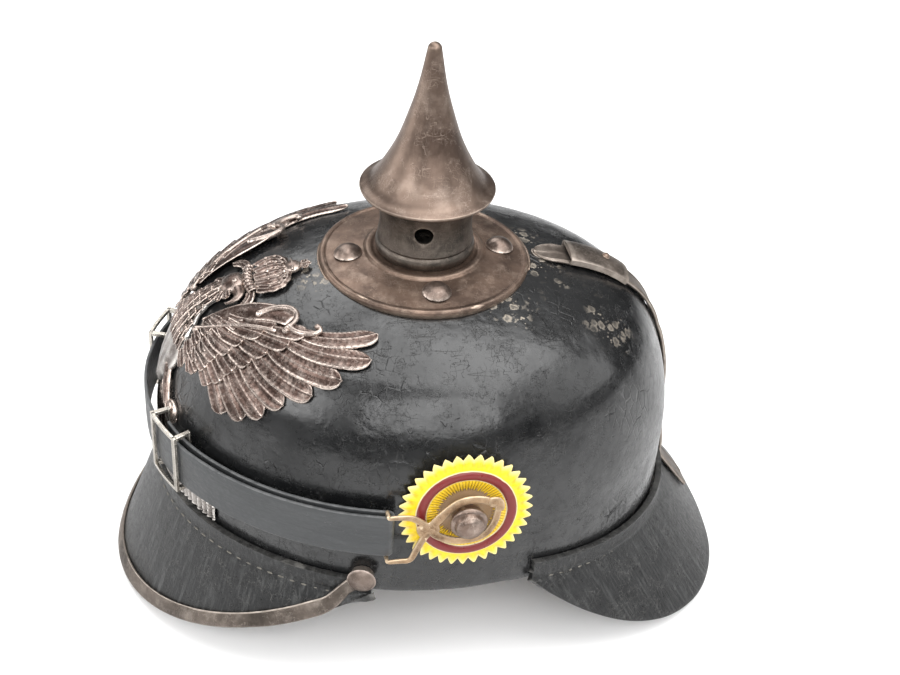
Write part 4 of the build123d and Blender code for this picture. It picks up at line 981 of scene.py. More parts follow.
@dataclass(frozen=True)
class LacquerFinish:
    """Black lacquer on old leather, with crazing, scratches and paint flecks round the spike's plate."""

    name: str = "black_lacquer"
    base: Colour = (0.0045, 0.0047, 0.005)
    dull: Colour = (0.011, 0.0115, 0.012)
    craze: Colour = (0.014, 0.013, 0.012)
    fleck: Colour = (0.3, 0.26, 0.21)
    raw: Colour = (0.035, 0.023, 0.016)
    middle: Point = (0.0, SHIFT_Y * MM, 0.05)
    clusters: Tuple[Tuple[Point, float, float], ...] = (
        ((0.006, -0.0432, 0.1384), 0.014, 1.0), ((0.036, 0.0262, 0.1362), 0.012, 1.0),
        ((0.0069, 0.043, 0.1379), 0.012, 1.0), ((-0.0126, 0.04, 0.138), 0.009, 0.8),
        ((0.025, 0.05, 0.134), 0.013, 0.55), ((0.0345, 0.064, 0.1265), 0.015, 0.6),
    )

    @staticmethod
    def near(w: Weaver, centre: Point, inner: float, outer: float) -> Socket:
        """Mask that is full within a distance of a point and fades out beyond it.

        Args:
            w: The weaver.
            centre: The point.
            inner: Where the fading starts.
            outer: Where it ends.

        Returns:
            The mask.
        """
        gap = w.add("ShaderNodeVectorMath", {0: w.place(), 1: centre}, operation="DISTANCE").outputs["Value"]
        return w.between(gap, inner, outer, 1.0, 0.0)

    def build(self, effects: Effects) -> bpy.types.Material:
        """Make the material.

        Args:
            effects: The shared effects.

        Returns:
            The material.
        """
        material, w, shader = fresh_material(self.name, 0.0)
        shader.inputs["Specular IOR Level"].default_value = 0.55
        shader.inputs["Coat Roughness"].default_value = 0.12
        place = w.place()
        zone: object = 0.0
        for centre, reach, weight in self.clusters:
            zone = w.math("MAXIMUM", zone, w.times(self.near(w, centre, reach * 0.5, reach), weight))
        warp = w.times(w.minus(w.noise(place, 480.0, 4.0), 0.2), 0.6)
        spot = w.plus(w.cells(place, 210.0), warp)
        halo = w.times(w.between(spot, 0.36, 0.42), w.between(spot, 0.5, 0.58, 1.0, 0.0))
        halo = w.math("MAXIMUM", halo, w.between(spot, 0.36, 0.44, 0.45, 0.0))
        crumbs = w.effect(effects.specks, Scale=520.0, Size=0.34, Amount=0.6)
        clump = w.between(w.noise(place, 62.0, 3.0), 0.46, 0.54)
        away = w.add("ShaderNodeVectorMath", {0: place, 1: self.middle}, operation="SUBTRACT").outputs["Vector"]
        face = {0: away, 1: w.add("ShaderNodeNewGeometry").outputs["True Normal"]}
        outward = w.add("ShaderNodeVectorMath", face, operation="DOT_PRODUCT").outputs["Value"]
        inside = w.math("LESS_THAN", outward, 0.0)
        zone = w.minus(zone, inside, True)
        spots = w.math("MAXIMUM", w.times(halo, 0.8), crumbs)
        fleck = w.times(spots, w.times(zone, clump))
        dull = w.effect(effects.mottle, Scale=26.0, Low=0.45, High=0.68)
        fine = w.effect(effects.mottle, Scale=160.0, Low=0.5, High=0.7)
        cracks = w.cells(w.stretched(place, (1, 1, 0.6)), 230.0, "DISTANCE_TO_EDGE")
        patches = w.effect(effects.mottle, Scale=34.0, Low=0.56, High=0.66)
        craze = w.times(w.between(cracks, 0.0, 0.07, 1.0, 0.0), patches)
        lines = w.effect(effects.scratches, Scale=34.0, Width=0.006, Amount=0.45)
        hair = w.effect(effects.scratches, Scale=110.0, Width=0.006, Amount=0.35)
        colour = w.mix(w.times(dull, 0.6), self.base, self.dull)
        colour = w.mix(w.times(fine, 0.35), colour, self.dull)
        colour = w.mix(w.times(w.math("MAXIMUM", lines, hair), 0.4), colour, self.craze)
        colour = w.mix(w.times(craze, 0.3), colour, self.craze)
        colour = w.mix(fleck, colour, self.fleck)
        colour = w.mix(inside, colour, self.raw)
        rough = w.between(w.noise(place, 90.0, 6.0, 0.7), 0.35, 0.7, 0.2, 0.36)
        rough = w.plus(rough, w.times(inside, 0.4))
        rough = w.plus(rough, w.times(dull, 0.06))
        rough = w.plus(rough, w.times(fleck, 0.35), True)
        lumps = w.noise(place, 13.0, 2.0, 0.5)
        dents = w.noise(place, 55.0, 3.0, 0.55)
        grain = w.effect(effects.grain, Scale=900.0, Creases=0.9)
        normal = w.bump(lumps, 0.0034)
        normal = w.bump(dents, 0.0011, normal)
        height = w.minus(w.times(grain, 0.3), w.times(craze, 1.5))
        height = w.minus(height, w.times(w.math("MAXIMUM", lines, hair), 0.7))
        height = w.plus(height, w.times(fleck, 0.5))
        normal = w.bump(height, 0.00022, normal)
        w.surface(shader, colour, rough, normal)
        coat = w.minus(w.between(w.noise(place, 40.0, 4.0), 0.35, 0.65, 0.1, 0.5), inside, True)
        w.feed(shader.inputs["Coat Weight"], coat)
        return material


@dataclass(frozen=True)
class CockadePaint:
    """Old enamel in rings, chipped at the edges, with grime and painted shade in its hollows."""

    name: str
    outer: Colour
    ring: Colour
    inner: Colour
    line: Colour = (0.66, 0.58, 0.34)
    middle: Colour = (0.3, 0.19, 0.1)
    tip: Colour = (0.8, 0.72, 0.4)
    # Colour of grime, also used for the painted shade in the hollows.
    grime_and_shade: Colour = (0.16, 0.08, 0.015)
    notches: int = 44
    notch_depth: float = 0.026
    blend: float = 0.004

    def build(self, effects: Effects) -> bpy.types.Material:
        """Make the material.

        Args:
            effects: The shared effects.

        Returns:
            The material.
        """
        material, w, shader = fresh_material(self.name, 0.0)
        shader.inputs["Specular IOR Level"].default_value = 0.5
        place = w.add("ShaderNodeTexCoord").outputs["UV"]
        turn_share, radial, _ = w.add("ShaderNodeSeparateXYZ", {0: place}).outputs
        wobble = w.times(w.minus(w.noise(w.place(), 180.0, 2.0), 0.5), 0.02)
        radial = w.plus(radial, wobble)
        notch = w.math("SINE", w.times(turn_share, 2 * math.pi * self.notches))
        gate = w.between(w.plus(radial, w.times(notch, self.notch_depth)), 0.3, 0.33)
        colour = w.mix(gate, self.middle, self.inner)
        stops = ((0.512, self.line), (0.53, self.ring), (0.694, self.line), (0.712, self.outer))
        for start, paint in stops:
            colour = w.mix(w.between(radial, start - self.blend, start + self.blend), colour, paint)
        colour = w.mix(w.between(radial, 0.86, 0.99, 0.0, 0.65), colour, self.tip)
        chips = w.effect(effects.specks, Scale=520.0, Size=0.2, Amount=0.4)
        dirt = w.effect(effects.mottle, Scale=120.0, Low=0.5, High=0.8)
        rub = w.effect(effects.edges, Low=0.53, High=0.62, Break=0.8)
        # Painted shade: hollows found by pointiness are darkened with the grime colour.
        hollow_shade = w.between(w.pointiness(), 0.42, 0.495, 1.0, 0.0)
        colour = w.mix(w.times(dirt, 0.18), colour, self.grime_and_shade)
        colour = w.mix(w.times(hollow_shade, 0.75), colour, self.grime_and_shade)
        colour = w.mix(w.times(chips, 0.6), colour, self.grime_and_shade)
        colour = w.mix(w.times(rub, 0.25), colour, self.line)
        rough = w.between(w.noise(w.place(), 300.0, 4.0), 0.3, 0.7, 0.25, 0.5)
        normal = w.bump(w.minus(w.noise(w.place(), 700.0, 4.0), chips), 0.0001)
        w.surface(shader, colour, rough, normal)
        return material


# Leather: name, base, worn and edge colours, roughness, gloss. Metal: name, base, dark and light colours, least
# and most roughness, how metallic, clouds in a metre, where the edge light starts and is full.
PALETTE = (
    LacquerFinish(),
    LeatherFinish(
        "visor_leather", (0.0055, 0.0057, 0.006), (0.1, 0.102, 0.1), (0.14, 0.135, 0.125), 0.31, 0.5,
        streaks=(46.0, 0.9, 1.0), worn_share=0.6, guide="UV",
    ),
    LeatherFinish(
        "strap_leather", (0.032, 0.034, 0.0355), (0.07, 0.073, 0.075), (0.24, 0.24, 0.24), 0.38, 0.5,
        streaks=(10.0, 10.0, 60.0), worn_share=0.5, crack=0.08,
    ),
    LeatherFinish(
        "liner_leather", (0.17, 0.085, 0.038), (0.28, 0.16, 0.085), (0.36, 0.24, 0.15), 0.66, 0.25,
        streaks=(20.0, 20.0, 12.0), worn_share=0.7,
    ),
    LeatherFinish("pin_leather", (0.1, 0.05, 0.025), (0.2, 0.11, 0.06), (0.3, 0.2, 0.12), 0.7, 0.2),
    MetalFinish(
        "brown_steel", (0.19, 0.13, 0.098), (0.08, 0.054, 0.042), (0.45, 0.35, 0.28), 0.32, 0.52, 0.8, 60.0,
    ),
    MetalFinish(
        "cone_steel", (0.18, 0.13, 0.102), (0.085, 0.058, 0.045), (0.48, 0.385, 0.32), 0.3, 0.46, 0.82, 45.0,
        brushed=(1.0, 1.0, 6.0), light_clouds=0.3,
    ),
    MetalFinish(
        "plate_metal", (0.115, 0.076, 0.063), (0.032, 0.019, 0.015), (0.76, 0.65, 0.58), 0.22, 0.38, 0.9, 85.0,
        0.515, 0.58, light_clouds=0.3, hollow_shade=0.95,
    ),
    MetalFinish(
        "plate_silver", (0.34, 0.315, 0.295), (0.1, 0.078, 0.068), (0.78, 0.74, 0.7), 0.22, 0.42, 0.92, 85.0,
        0.505, 0.55, hollow_shade=0.85,
    ),
    MetalFinish(
        "dark_steel", (0.115, 0.095, 0.08), (0.04, 0.035, 0.03), (0.28, 0.24, 0.2), 0.28, 0.46, 0.82, 70.0,
        brushed=(3.0, 3.0, 1.0),
    ),
    MetalFinish(
        "grey_steel", (0.135, 0.11, 0.092), (0.055, 0.044, 0.036), (0.44, 0.38, 0.33), 0.42, 0.6, 0.7, 60.0,
    ),
    MetalFinish(
        "buckle_steel", (0.27, 0.25, 0.22), (0.1, 0.08, 0.065), (0.62, 0.58, 0.52), 0.2, 0.36, 0.92, 90.0,
        hollow_shade=0.6,
    ),
    MetalFinish(
        "post_steel", (0.27, 0.2, 0.165), (0.12, 0.08, 0.06), (0.7, 0.6, 0.52), 0.26, 0.4, 0.88, 60.0, pits=0.05,
    ),
    MetalFinish(
        "stud_steel", (0.2, 0.15, 0.125), (0.09, 0.063, 0.05), (0.55, 0.46, 0.4), 0.28, 0.42, 0.88, 80.0,
        pits=0.1,
    ),
    MetalFinish(
        "trim_stud_steel", (0.2, 0.155, 0.13), (0.1, 0.075, 0.062), (0.4, 0.33, 0.29), 0.4, 0.6, 0.8, 110.0,
    ),
    MetalFinish(
        "hook_brass", (0.4, 0.26, 0.15), (0.13, 0.07, 0.035), (0.76, 0.6, 0.42), 0.3, 0.48, 0.85, 120.0,
        0.505, 0.55, hollow_shade=0.8,
    ),
    LeatherFinish(
        "pale_thread", (0.12, 0.115, 0.1), (0.17, 0.16, 0.14), (0.22, 0.2, 0.17), 0.7, 0.2,
        streaks=(400.0, 400.0, 400.0),
    ),
    CockadePaint("cockade_left_paint", (0.74, 0.52, 0.007), (0.155, 0.012, 0.012), (0.7, 0.46, 0.01)),
    CockadePaint(
        "cockade_right_paint", (0.012, 0.012, 0.012), (0.6, 0.57, 0.52), (0.33, 0.012, 0.01),
        tip=(0.1, 0.09, 0.08),
    ),
)


def make_finishes() -> Finishes:
    """Build every finish of the helmet.

    Returns:
        The materials by name.
    """
    effects = Effects()
    return {finish.name: finish.build(effects) for finish in PALETTE}


# The shell


@dataclass
class Shell:
    """The lacquered skull: dome, straight wall and dipping lower edge."""

    leather: float = 3.0
    round_spans: int = 160
    arc_spans: int = 14
    wall_rows: int = 8

    def build(self, finishes: Finishes) -> None:
        """Make the skull.

        Args:
            finishes: The finishes.
        """
        bm = spun(FORM.profile(self.arc_spans), self.round_spans)
        bmesh.ops.scale(bm, vec=(1, FORM.ratio, 1), verts=bm.verts)
        for row in range(1, self.wall_rows + 1):
            rim = [edge for edge in bm.edges if len(edge.link_faces) == 1]
            made = bmesh.ops.extrude_edge_only(bm, edges=rim)["geom"]
            for vert in (part for part in made if isinstance(part, bmesh.types.BMVert)):
                low = FORM.edge(vert.co.y)
                vert.co.z = lerp(FORM.wall_height, low, row / self.wall_rows)
        bmesh.ops.recalc_face_normals(bm, faces=bm.faces)
        piece("skull_finish", bm, finishes["black_lacquer"], Body.HELMET, ("skull_shell",), "black_leather",
              wall=self.leather, bevel=0.8)


@dataclass
class Visor:
    """Leather visor: a flange on the skull, a sewn crease and a flared sheet."""

    name: str
    sense: int
    end_y: float
    flange_end: float
    flange_middle: float
    rim_half_width: float
    rim_reach: float
    rim_end: float
    fullness: float
    fall: float
    lift: float
    leather: float = 2.6
    flange: float = 7.0
    gap: float = 0.2
    columns: int = 150
    rows: int = 36
    stitch_pitch: float = 4.6
    stitch: Point = (1.45, 0.4, 0.4)
    stitch_drop: float = 0.9
    stitch_end: float = 0.97
    crease_soft: float = 2.2
    rim_spacing: float = 0.45
    groove: Pair = (1.1, 0.45)
    wave: Pair = (0.045, 0.55)
    ripple: Tuple[float, float, float] = (26.0, 0.05, 0.16)

    def rim(self, share: float) -> Vector:
        """Point of the rim.

        Args:
            share: Place from -1 to 1 across.

        Returns:
            The point.
        """
        turn = share * math.pi / 2
        power = 2 / self.fullness
        along = abs(math.cos(turn)) ** power
        x = self.rim_half_width * math.copysign(abs(math.sin(turn)) ** power, share)
        y = self.sense * (self.end_y + (self.rim_reach - self.end_y) * along)
        return Vector((x, y, self.rim_end * (1 - along) ** self.fall + self.lift))

    def seat(self, share: float, drop: float) -> Vector:
        """Point of the flange's outer face.

        Args:
            share: Place from -1 to 1 across.
            drop: Distance below its top edge.

        Returns:
            The point.
        """
        reach = FORM.half_width + self.gap + self.leather
        turn = share * math.acos(self.end_y / FORM.half_length)
        y = reach * FORM.ratio * math.cos(turn)
        middle = (y - self.end_y) / (FORM.half_length - self.end_y)
        z = lerp(self.flange_end, self.flange_middle, middle) - drop
        return Vector((reach * math.sin(turn), self.sense * y, z))

    def run(self, share: float, travel: float) -> Vector:
        """Point of the outer face at a distance down from the flange's top."""
        if travel <= self.flange:
            return self.seat(share, travel)
        crease, rim = self.seat(share, self.flange), self.rim(share)
        return crease.lerp(rim, (travel - self.flange) / max((rim - crease).length, 1e-6))

    def surface(self, across: float, along: float) -> Vector:
        """Point of the outer face, its crease softened and pulled in along the stitches.

        Args:
            across: Share from 0 to 1 across.
            along: Share from 0 at the rim to 1 at the top.

        Returns:
            The point.
        """
        share, bent = 2 * across - 1, 1 - along
        total = self.flange + (self.rim(share) - self.seat(share, self.flange)).length
        travel = total * bent * lerp(self.rim_spacing, 1.0, bent)
        soft = min(self.crease_soft, travel, total - travel)
        here = Vector()
        for step in (-1.0, -0.5, 0.0, 0.5, 1.0):
            here += self.run(share, travel + step * soft) / 5
        past = travel - self.flange
        pitch, height = self.wave
        offset = noise.noise(Vector((here.x * pitch, here.y * pitch, 3.0))) * height * smooth(0.0, 8.0, past)
        across_pitch, along_pitch, height = self.ripple
        ripple = noise.noise(Vector((share * across_pitch, travel * along_pitch, 9.0)))
        offset += ripple * height * math.exp(-((past / 6) ** 2))
        width, depth = self.groove
        return here + FORM.outward(here) * (offset - depth * math.exp(-((past / width) ** 2)))

    def build(self, finishes: Finishes) -> None:
        """Make the visor and its stitches.

        Args:
            finishes: The finishes.
        """
        bm = grid(self.columns, self.rows, self.surface)
        faced(bm, Vector((0, self.sense, 0)))
        piece(f"{self.name}_finish", bm, finishes["visor_leather"], Body.HELMET, (self.name,), "visor_leather",
              wall=self.leather - 0.1, bevel=0.5)
        self.stitches(finishes)

    def stitches(self, finishes: Finishes) -> None:
        """Sew the crease with short pale stitches.

        Args:
            finishes: The finishes.
        """
        parts: List[Mesh] = []
        samples = 1200
        drop = self.flange + self.stitch_drop
        length = 0.0
        before = self.seat(-self.stitch_end, drop)
        for index in range(1, samples):
            here = self.seat(lerp(-self.stitch_end, self.stitch_end, index / samples), drop)
            length += (here - before).length
            if length >= self.stitch_pitch:
                length = 0.0
                away = FORM.outward(here)
                wander = Vector((0, 0, noise.noise(here * 0.7) * 0.25))
                parts.append(stand(ball(1.0, 8, 6, self.stitch), here + away * 0.02 + wander, away, here - before))
            before = here
        piece(f"{self.name}_stitches", joined(parts), finishes["pale_thread"], Body.HELMET, sharp=80)


@dataclass
class VisorTrim:
    """Steel channel round the front visor's rim, with a round tab under the stud at each end."""

    visor: Visor
    steel: float = 0.8
    gap: float = 0.25
    band: float = 6.2
    inner: float = 4.0
    columns: int = 180
    end_rise: float = 4.2
    tab_radius: float = 4.3
    tab_back: float = 3.8
    sink: float = 0.15
    end_share: float = 0.974
    bulge: float = 0.35
    flare: float = 1.2
    thin_end: float = 0.6
    hug: Pair = (0.86, 0.93)
    steep: Pair = (0.82, 0.96)
    inner_end: Pair = (0.62, 0.74)
    flare_from: Pair = (0.9, 0.97)
    rows: int = 32

    def frame_at(self, share: float) -> Tuple[Vector, Vector, Vector, Vector]:
        """Places and directions of the rim that the channel follows.

        Args:
            share: Place from -1 to 1 across.

        Returns:
            Rim point, crease point, the way up the sheet and the way out of it.
        """
        rim = self.visor.rim(share)
        crease = self.visor.seat(share, self.visor.flange)
        steep = smooth(*self.steep, abs(share))
        rim = rim + Vector((0, 0, self.end_rise * smooth(self.hug[0], self.end_share, abs(share))))
        up = ((crease - rim).normalized() * (1 - steep) + Vector((0, 0, steep))).normalized()
        step = 0.01
        along = (self.visor.rim(min(share + step, 1)) - self.visor.rim(max(share - step, -1))).normalized()
        out = up.cross(along).normalized()
        if out.dot(Vector((rim.x, rim.y, 0))) < 0:
            out = -out
        return rim, crease, up, out

    def hugged(self, point: Vector, share: float, offset: float) -> Vector:
        """Point drawn onto the visor's face near the channel's ends, so that they pass under the studs.

        Args:
            point: The point.
            share: Place from -1 to 1 across.
            offset: Its distance off the face.

        Returns:
            The new point.
        """
        hug = smooth(*self.hug, abs(share))
        if not hug:
            return point
        rim, crease = self.visor.rim(share), self.visor.seat(share, self.visor.flange)
        if point.z >= crease.z:
            face = self.visor.seat(share, self.visor.flange - (point.z - crease.z))
        else:
            face = crease.lerp(rim, min(1.0, (crease.z - point.z) / max(crease.z - rim.z, 1e-6)))
        face = face + FORM.outward(face) * (offset - self.sink)
        face.z = point.z
        return point.lerp(face, hug)

    def surface(self, across: float, along: float) -> Vector:
        """Point of the channel's skin: outer leg, rounded lip and inner leg.

        Args:
            across: Share from 0 to 1 across.
            along: Share from 0 at the top of the outer leg to 1 at the top of the inner one.

        Returns:
            The point.
        """
        outer_share, lip_share = 0.5, 0.25
        share = (2 * across - 1) * self.end_share
        rim, crease, up, out = self.frame_at(share)
        fade = 1 - smooth(*self.inner_end, abs(share))
        outer = self.gap + self.steel
        half = outer + self.visor.leather / 2
        if fade <= 0.5:
            half = lerp(self.thin_end, half, fade * 2)
        if along < outer_share:
            climb = (self.band + self.flare * smooth(*self.flare_from, abs(share))) * (1 - along / outer_share)
            bulge = self.bulge * math.sin(math.pi * along / outer_share)
            length = (crease - rim).length
            if climb <= length or abs(share) > 0.8:
                bulge *= 1 - smooth(*self.hug, abs(share))
                return self.hugged(rim + up * climb + out * (outer + bulge), share, outer + bulge)
            flat = Vector((out.x, out.y, 0)).normalized()
            return crease + Vector((0, 0, climb - length)) + flat * (outer + bulge * 0.5)
        if along < outer_share + lip_share:
            turn = math.pi * (along - outer_share) / lip_share
            offset = outer - half + half * math.cos(turn)
            return self.hugged(rim + out * offset - up * (outer * math.sin(turn)), share, offset)
        offset = outer - 2 * half
        climb = self.inner * fade * (along - outer_share - lip_share) / (1 - outer_share - lip_share)
        return self.hugged(rim + out * offset + up * climb, share, offset)

    def build(self, finishes: Finishes) -> None:
        """Make the channel and the round tabs under its studs.

        Args:
            finishes: The finishes.
        """
        bm = grid(self.columns, self.rows, self.surface)
        for vert in bm.verts:
            vert.co.z = max(vert.co.z, 0.0)
        faced(bm, Vector((0, 0, -1)))
        piece("visor_trim_finish", bm, finishes["grey_steel"], Body.HELMET, ("visor_trim",), "grey_steel",
              wall=self.steel * 0.9, bevel=0.25)
        spot, up = TrimStuds().seat()
        low, high = -self.tab_back, -0.05
        profile = rounded([(0.0, low), (self.tab_radius, low), (self.tab_radius, high), (0.0, high)], 0.3)
        tabs = paired(stand(spun(profile, 40), spot, up, Vector((0, 0, 1))))
        piece("visor_trim_tabs", joined(bm for _, bm in tabs), finishes["grey_steel"], Body.HELMET)


# The front plate


@dataclass(frozen=True)
class Vane:
    """Cross-section of one kind of feather."""

    tilt: float = 0.35  # how much one edge rides over the next feather
    narrow: float = 0.55  # share of the width at the root
    camber: float = 0.7  # rise of its middle
    shaft: float = 0.35  # rise of its shaft
    bow: float = 0.55  # where along it the bend is greatest


PLAIN = Vane()
COVERT = Vane(shaft=0.25)
SHORT = Vane(narrow=0.7, camber=0.45, shaft=0.15, bow=0.5)
SCALE = Vane(0.0, 0.75, 0.3, 0.1, 0.5)
RUFF = Vane(0.0, 0.7, 0.4, 0.15)
LEAF = Vane(0.0, 0.9, 0.5, 0.3)
POINT = Vane(0.0, 0.5, 0.5, 0.1)
RIBBON = Vane(0.0, 0.8, 0.6, 0.2)
CLAW = Vane(0.0, 0.9, 0.7, 0.2)


def tapered(start: float, end: Optional[float] = None) -> Callable[[float], float]:
    """Size that changes evenly along a piece, or stays the same if no end is given."""
    return lambda share: lerp(start, start if end is None else end, share)


def arched(base: float, rise: float) -> Callable[[float, float], float]:
    """Height of a strip that is round across."""
    return lambda across, along: base + rise * (1 - across * across)


@dataclass
class FrontPlate:
    """Crowned eagle pressed in sheet metal, drawn on a leaning plane and laid on the skull.

    Places are pairs on the leaning plane: across, and up the lean. Heights are measured off the leather.
    """

    lean: float = math.sqrt(0.5)
    deepest: float = 220.0
    full_height: float = 3.3
    body_height: float = 4.6
    strap_height: float = 1.0
    strap_top: Pair = (90.0, 95.0)
    buckle_reach: Pair = (21.0, 24.0)
    steel: float = 0.5
    barb: float = 1.7
    feather_tips: Tuple[Pair, ...] = (
        (45.4, 77.8), (55.2, 72.6), (59.4, 61.4), (60.2, 50.4), (58.2, 39.8), (56.6, 30.6), (52.6, 22.6),
        (46.0, 16.4),
    )
    feather_roots: Tuple[Pair, Pair] = ((32.0, 53.0), (30.0, 23.0))
    covert_count: int = 7
    covert_rows: Tuple[Tuple[Pair, Pair, float, float, float], ...] = (
        ((25.5, 48.0), (25.0, 20.0), 0.54, 7.6, 1.75), ((19.0, 41.0), (17.0, 15.0), 0.4, 6.6, 2.3),
    )
    short_rows: Tuple[Tuple[Pair, Pair, int, float], ...] = (
        ((15.0, 30.0), (15.0, 13.0), 5, 3.0), ((21.0, 36.0), (20.5, 16.0), 6, 2.7),
    )
    body_widths: Tuple[float, ...] = (12.0, 21.0, 26.0, 27.0, 25.0, 20.0, 13.0, 10.0, 9.6, 10.5)
    crown_middle: float = 2.0
    scroll_half: float = 52.0
    scroll_low: float = 55.8
    scroll_rise: float = 7.6

    def at(self, across: float, rise: float, height: float) -> Vector:
        """Point over the skull for a place on the leaning plane.

        Args:
            across: Place across.
            rise: Place up the lean.
            height: Distance off the leather before it is flattened under the strap.

        Returns:
            The point.
        """
        low, high = 0.0, self.deepest
        for _ in range(28):
            middle = (low + high) / 2
            y, z = self.lean * (rise - middle), self.lean * (rise + middle)
            if math.hypot(across, y / FORM.ratio) < FORM.reach(z):
                low = middle
            else:
                high = middle
        spot = Vector((across, self.lean * (rise - low), self.lean * (rise + low)))
        under = (1 - smooth(*self.strap_top, spot.z)) * smooth(*self.buckle_reach, abs(across))
        return spot + FORM.normal(*spot) * height * lerp(1.0, self.strap_height / self.full_height, under)

    def sheet(self, points: Sequence[Pair], width: Callable[[float], float],
              height: Callable[[float, float], float], columns: int, rows: int) -> Mesh:
        """Strip along a curve, shaped by a width and a height.

        Args:
            points: Control points of its middle line.
            width: Full width for a share along.
            height: Height for a place across from -1 to 1 and a share along.
            columns: Spans across.
            rows: Spans along.

        Returns:
            The mesh, its faces outward.
        """
        plate_middle_z = 90

        def place(across: float, along: float) -> Vector:
            """Point of the strip."""
            centre, ahead = bezier(points, along)
            side = Vector((ahead.y, -ahead.x))
            share = 2 * across - 1
            spot = centre + side * (share * width(along) / 2)
            return self.at(*spot, height(share, along))

        bm = grid(columns, rows, place, merge=True)
        bm.normal_update()
        middle = min(bm.faces, key=lambda face: abs(face.calc_center_median().z - plate_middle_z))
        if middle.normal.dot(FORM.normal(*middle.calc_center_median())) < 0:
            bmesh.ops.reverse_faces(bm, faces=bm.faces)
        return bm

    def feather(self, root: Pair, tip: Pair, width: float, lift: float, sag: float = 0.0,
                vane: Vane = PLAIN) -> Mesh:
        """One feather with a shaft and slanting barbs.

        Args:
            root: Where it starts.
            tip: Where it ends.
            width: Its greatest width.
            lift: Height of its edges.
            sag: How far its control point is bowed to its right.
            vane: Its cross-section.

        Returns:
            The mesh.
        """
        start, end = Vector(root), Vector(tip)
        run = end - start
        bend = start.lerp(end, vane.bow) + Vector((run.y, -run.x)).normalized() * sag
        barbs = max(3, round(run.length / self.barb))
        round_from = 0.82

        def outline(along: float) -> float:
            """Width along the feather."""
            body = lerp(vane.narrow, 1.0, smooth(0.0, 0.6, along))
            past = max(0.0, along - round_from) / (1 - round_from)
            return width * body * math.sqrt(max(0.0, 1 - past**2.2))

        def relief(across: float, along: float) -> float:
            """Height over the leather."""
            off = abs(across)
            ridge = math.exp(-((across / 0.12) ** 2))
            rims = math.exp(-(((off - 0.8) / 0.12) ** 2))
            valley = math.exp(-(((off - 0.36) / 0.16) ** 2))
            groove = abs(math.sin(math.pi * (along * barbs + off * 0.9))) ** 0.6 - 0.5
            fade = smooth(0.0, 0.12, along) * smooth(1.0, 0.93, along)
            body = vane.camber * (1 - off**2.4) + vane.shaft * ridge + 0.18 * rims - 0.28 * valley
            return lift + body + vane.tilt * across + 0.13 * groove * (1 - ridge) * fade

        return self.sheet((start, bend, end), outline, relief, 12, barbs * 6)

    def standing(self, bm: Mesh, place: Pair, lift: float) -> Mesh:
        """Stand a mesh on the plate at a height."""
        return stand(bm, self.at(*place, lift), FORM.normal(*self.at(*place, 0.0)))

    def bead(self, place: Pair, radius: float, lift: float, flat: float = 0.75) -> Mesh:
        """Half-round bead on the plate."""
        return self.standing(ball(radius, 14, 10, (1, 1, flat)), place, lift)

    def wing(self) -> Mesh:
        """The wing at the wearer's left."""
        parts: List[Mesh] = []
        last = len(self.feather_tips) - 1
        first_root, last_root = map(Vector, self.feather_roots)
        for index, tip in enumerate(self.feather_tips):
            share = index / last
            root = first_root.lerp(last_root, share)
            width, lift = lerp(8.0, 9.6, min(1.0, share * 3)), 1.0 + 0.12 * (index % 2)
            parts.append(self.feather(root, tip, width, lift, lerp(10.5, -1.5, share)))
        for start, end, reach, width, lift in self.covert_rows:
            for index in range(self.covert_count):
                odd = index % 2
                share = lerp(0.16, 1.0, index / (self.covert_count - 1))
                root = Vector(start).lerp(Vector(end), share)
                aim = Vector(self.feather_tips[0]).lerp(Vector(self.feather_tips[last]), share)
                full = Vector(self.feather_tips[round(share * last)])
                tip = root.lerp(full.lerp(aim, 0.35), reach + 0.03 * odd)
                parts.append(self.feather(root, tip, width, lift + 0.1 * odd, lerp(2.5, -1.0, share), COVERT))
        for start, end, number, lift in self.short_rows:
            for index in range(number):
                share = index / (number - 1)
                root = Vector(start).lerp(Vector(end), share)
                tip = root + Vector((5.6, lerp(2.5, -3.0, share)))
                parts.append(self.feather(root, tip, 4.6, lift, vane=SHORT))
        return joined([*parts, self.arm(), *self.curls()])

    def arm(self) -> Mesh:
        """Smooth band with raised edges along the wing's leading edge."""

        def relief(across: float, along: float) -> float:
            """Height over the leather."""
            lips = smooth(0.62, 0.9, abs(across)) * 0.5
            return 2.3 + 0.9 * math.sin(math.pi * along) ** 0.5 * (1 - across * across) + lips

        def outline(along: float) -> float:
            """Width along the band."""
            return lerp(3.6, 8.4, math.sin(math.pi * min(1.0, along * 0.8) ** 0.9))

        return self.sheet(((13.5, 25.0), (20.0, 36.0), (19.5, 47.0), (32.0, 55.5)), outline, relief, 14, 44)

    def curls(self) -> List[Mesh]:
        """Rolled scrolls at the wrist, the drooping lobe and the rim of the wing, with knobs at their ends."""
        rolls = (
            (((25.0, 46.0), (22.0, 58.5), (33.0, 61.5), (35.5, 52.5)), 2.7, tapered(1.5, 0.8), 30),
            (((34.5, 54.0), (41.5, 55.5), (42.5, 64.5), (38.0, 62.5)), 2.3, tapered(1.3, 0.9), 26),
            (((13.5, 22.5), (22.0, 31.0), (25.5, 40.5), (35.0, 49.5)), 2.9, tapered(0.75), 40),
        )
        knobs = (((36.2, 52.6), 1.5), ((38.2, 62.2), 1.2), ((14.0, 22.0), 1.6))
        parts = []
        for line, lift, radius, spans in rolls:
            parts.append(tube(lambda share: self.at(*bezier(line, share)[0], lift), radius, spans))
        return parts + [self.standing(ball(size, 16, 10), place, 2.4) for place, size in knobs]

    def torso(self) -> Tuple[Mesh, Mesh]:
        """Breast and neck, and the rows of small scale feathers on them."""
        tall = self.body_height - 1.4
        line = ((0.0, -9.0), (0.0, 12.0), (-1.0, 26.0), (1.5, 38.0))
        rows, first_row, row_pitch, scale_pitch = 9, 0.4, 0.068, 3.4
        spread, widest, scale_length = 1.7, 0.95, 5.0

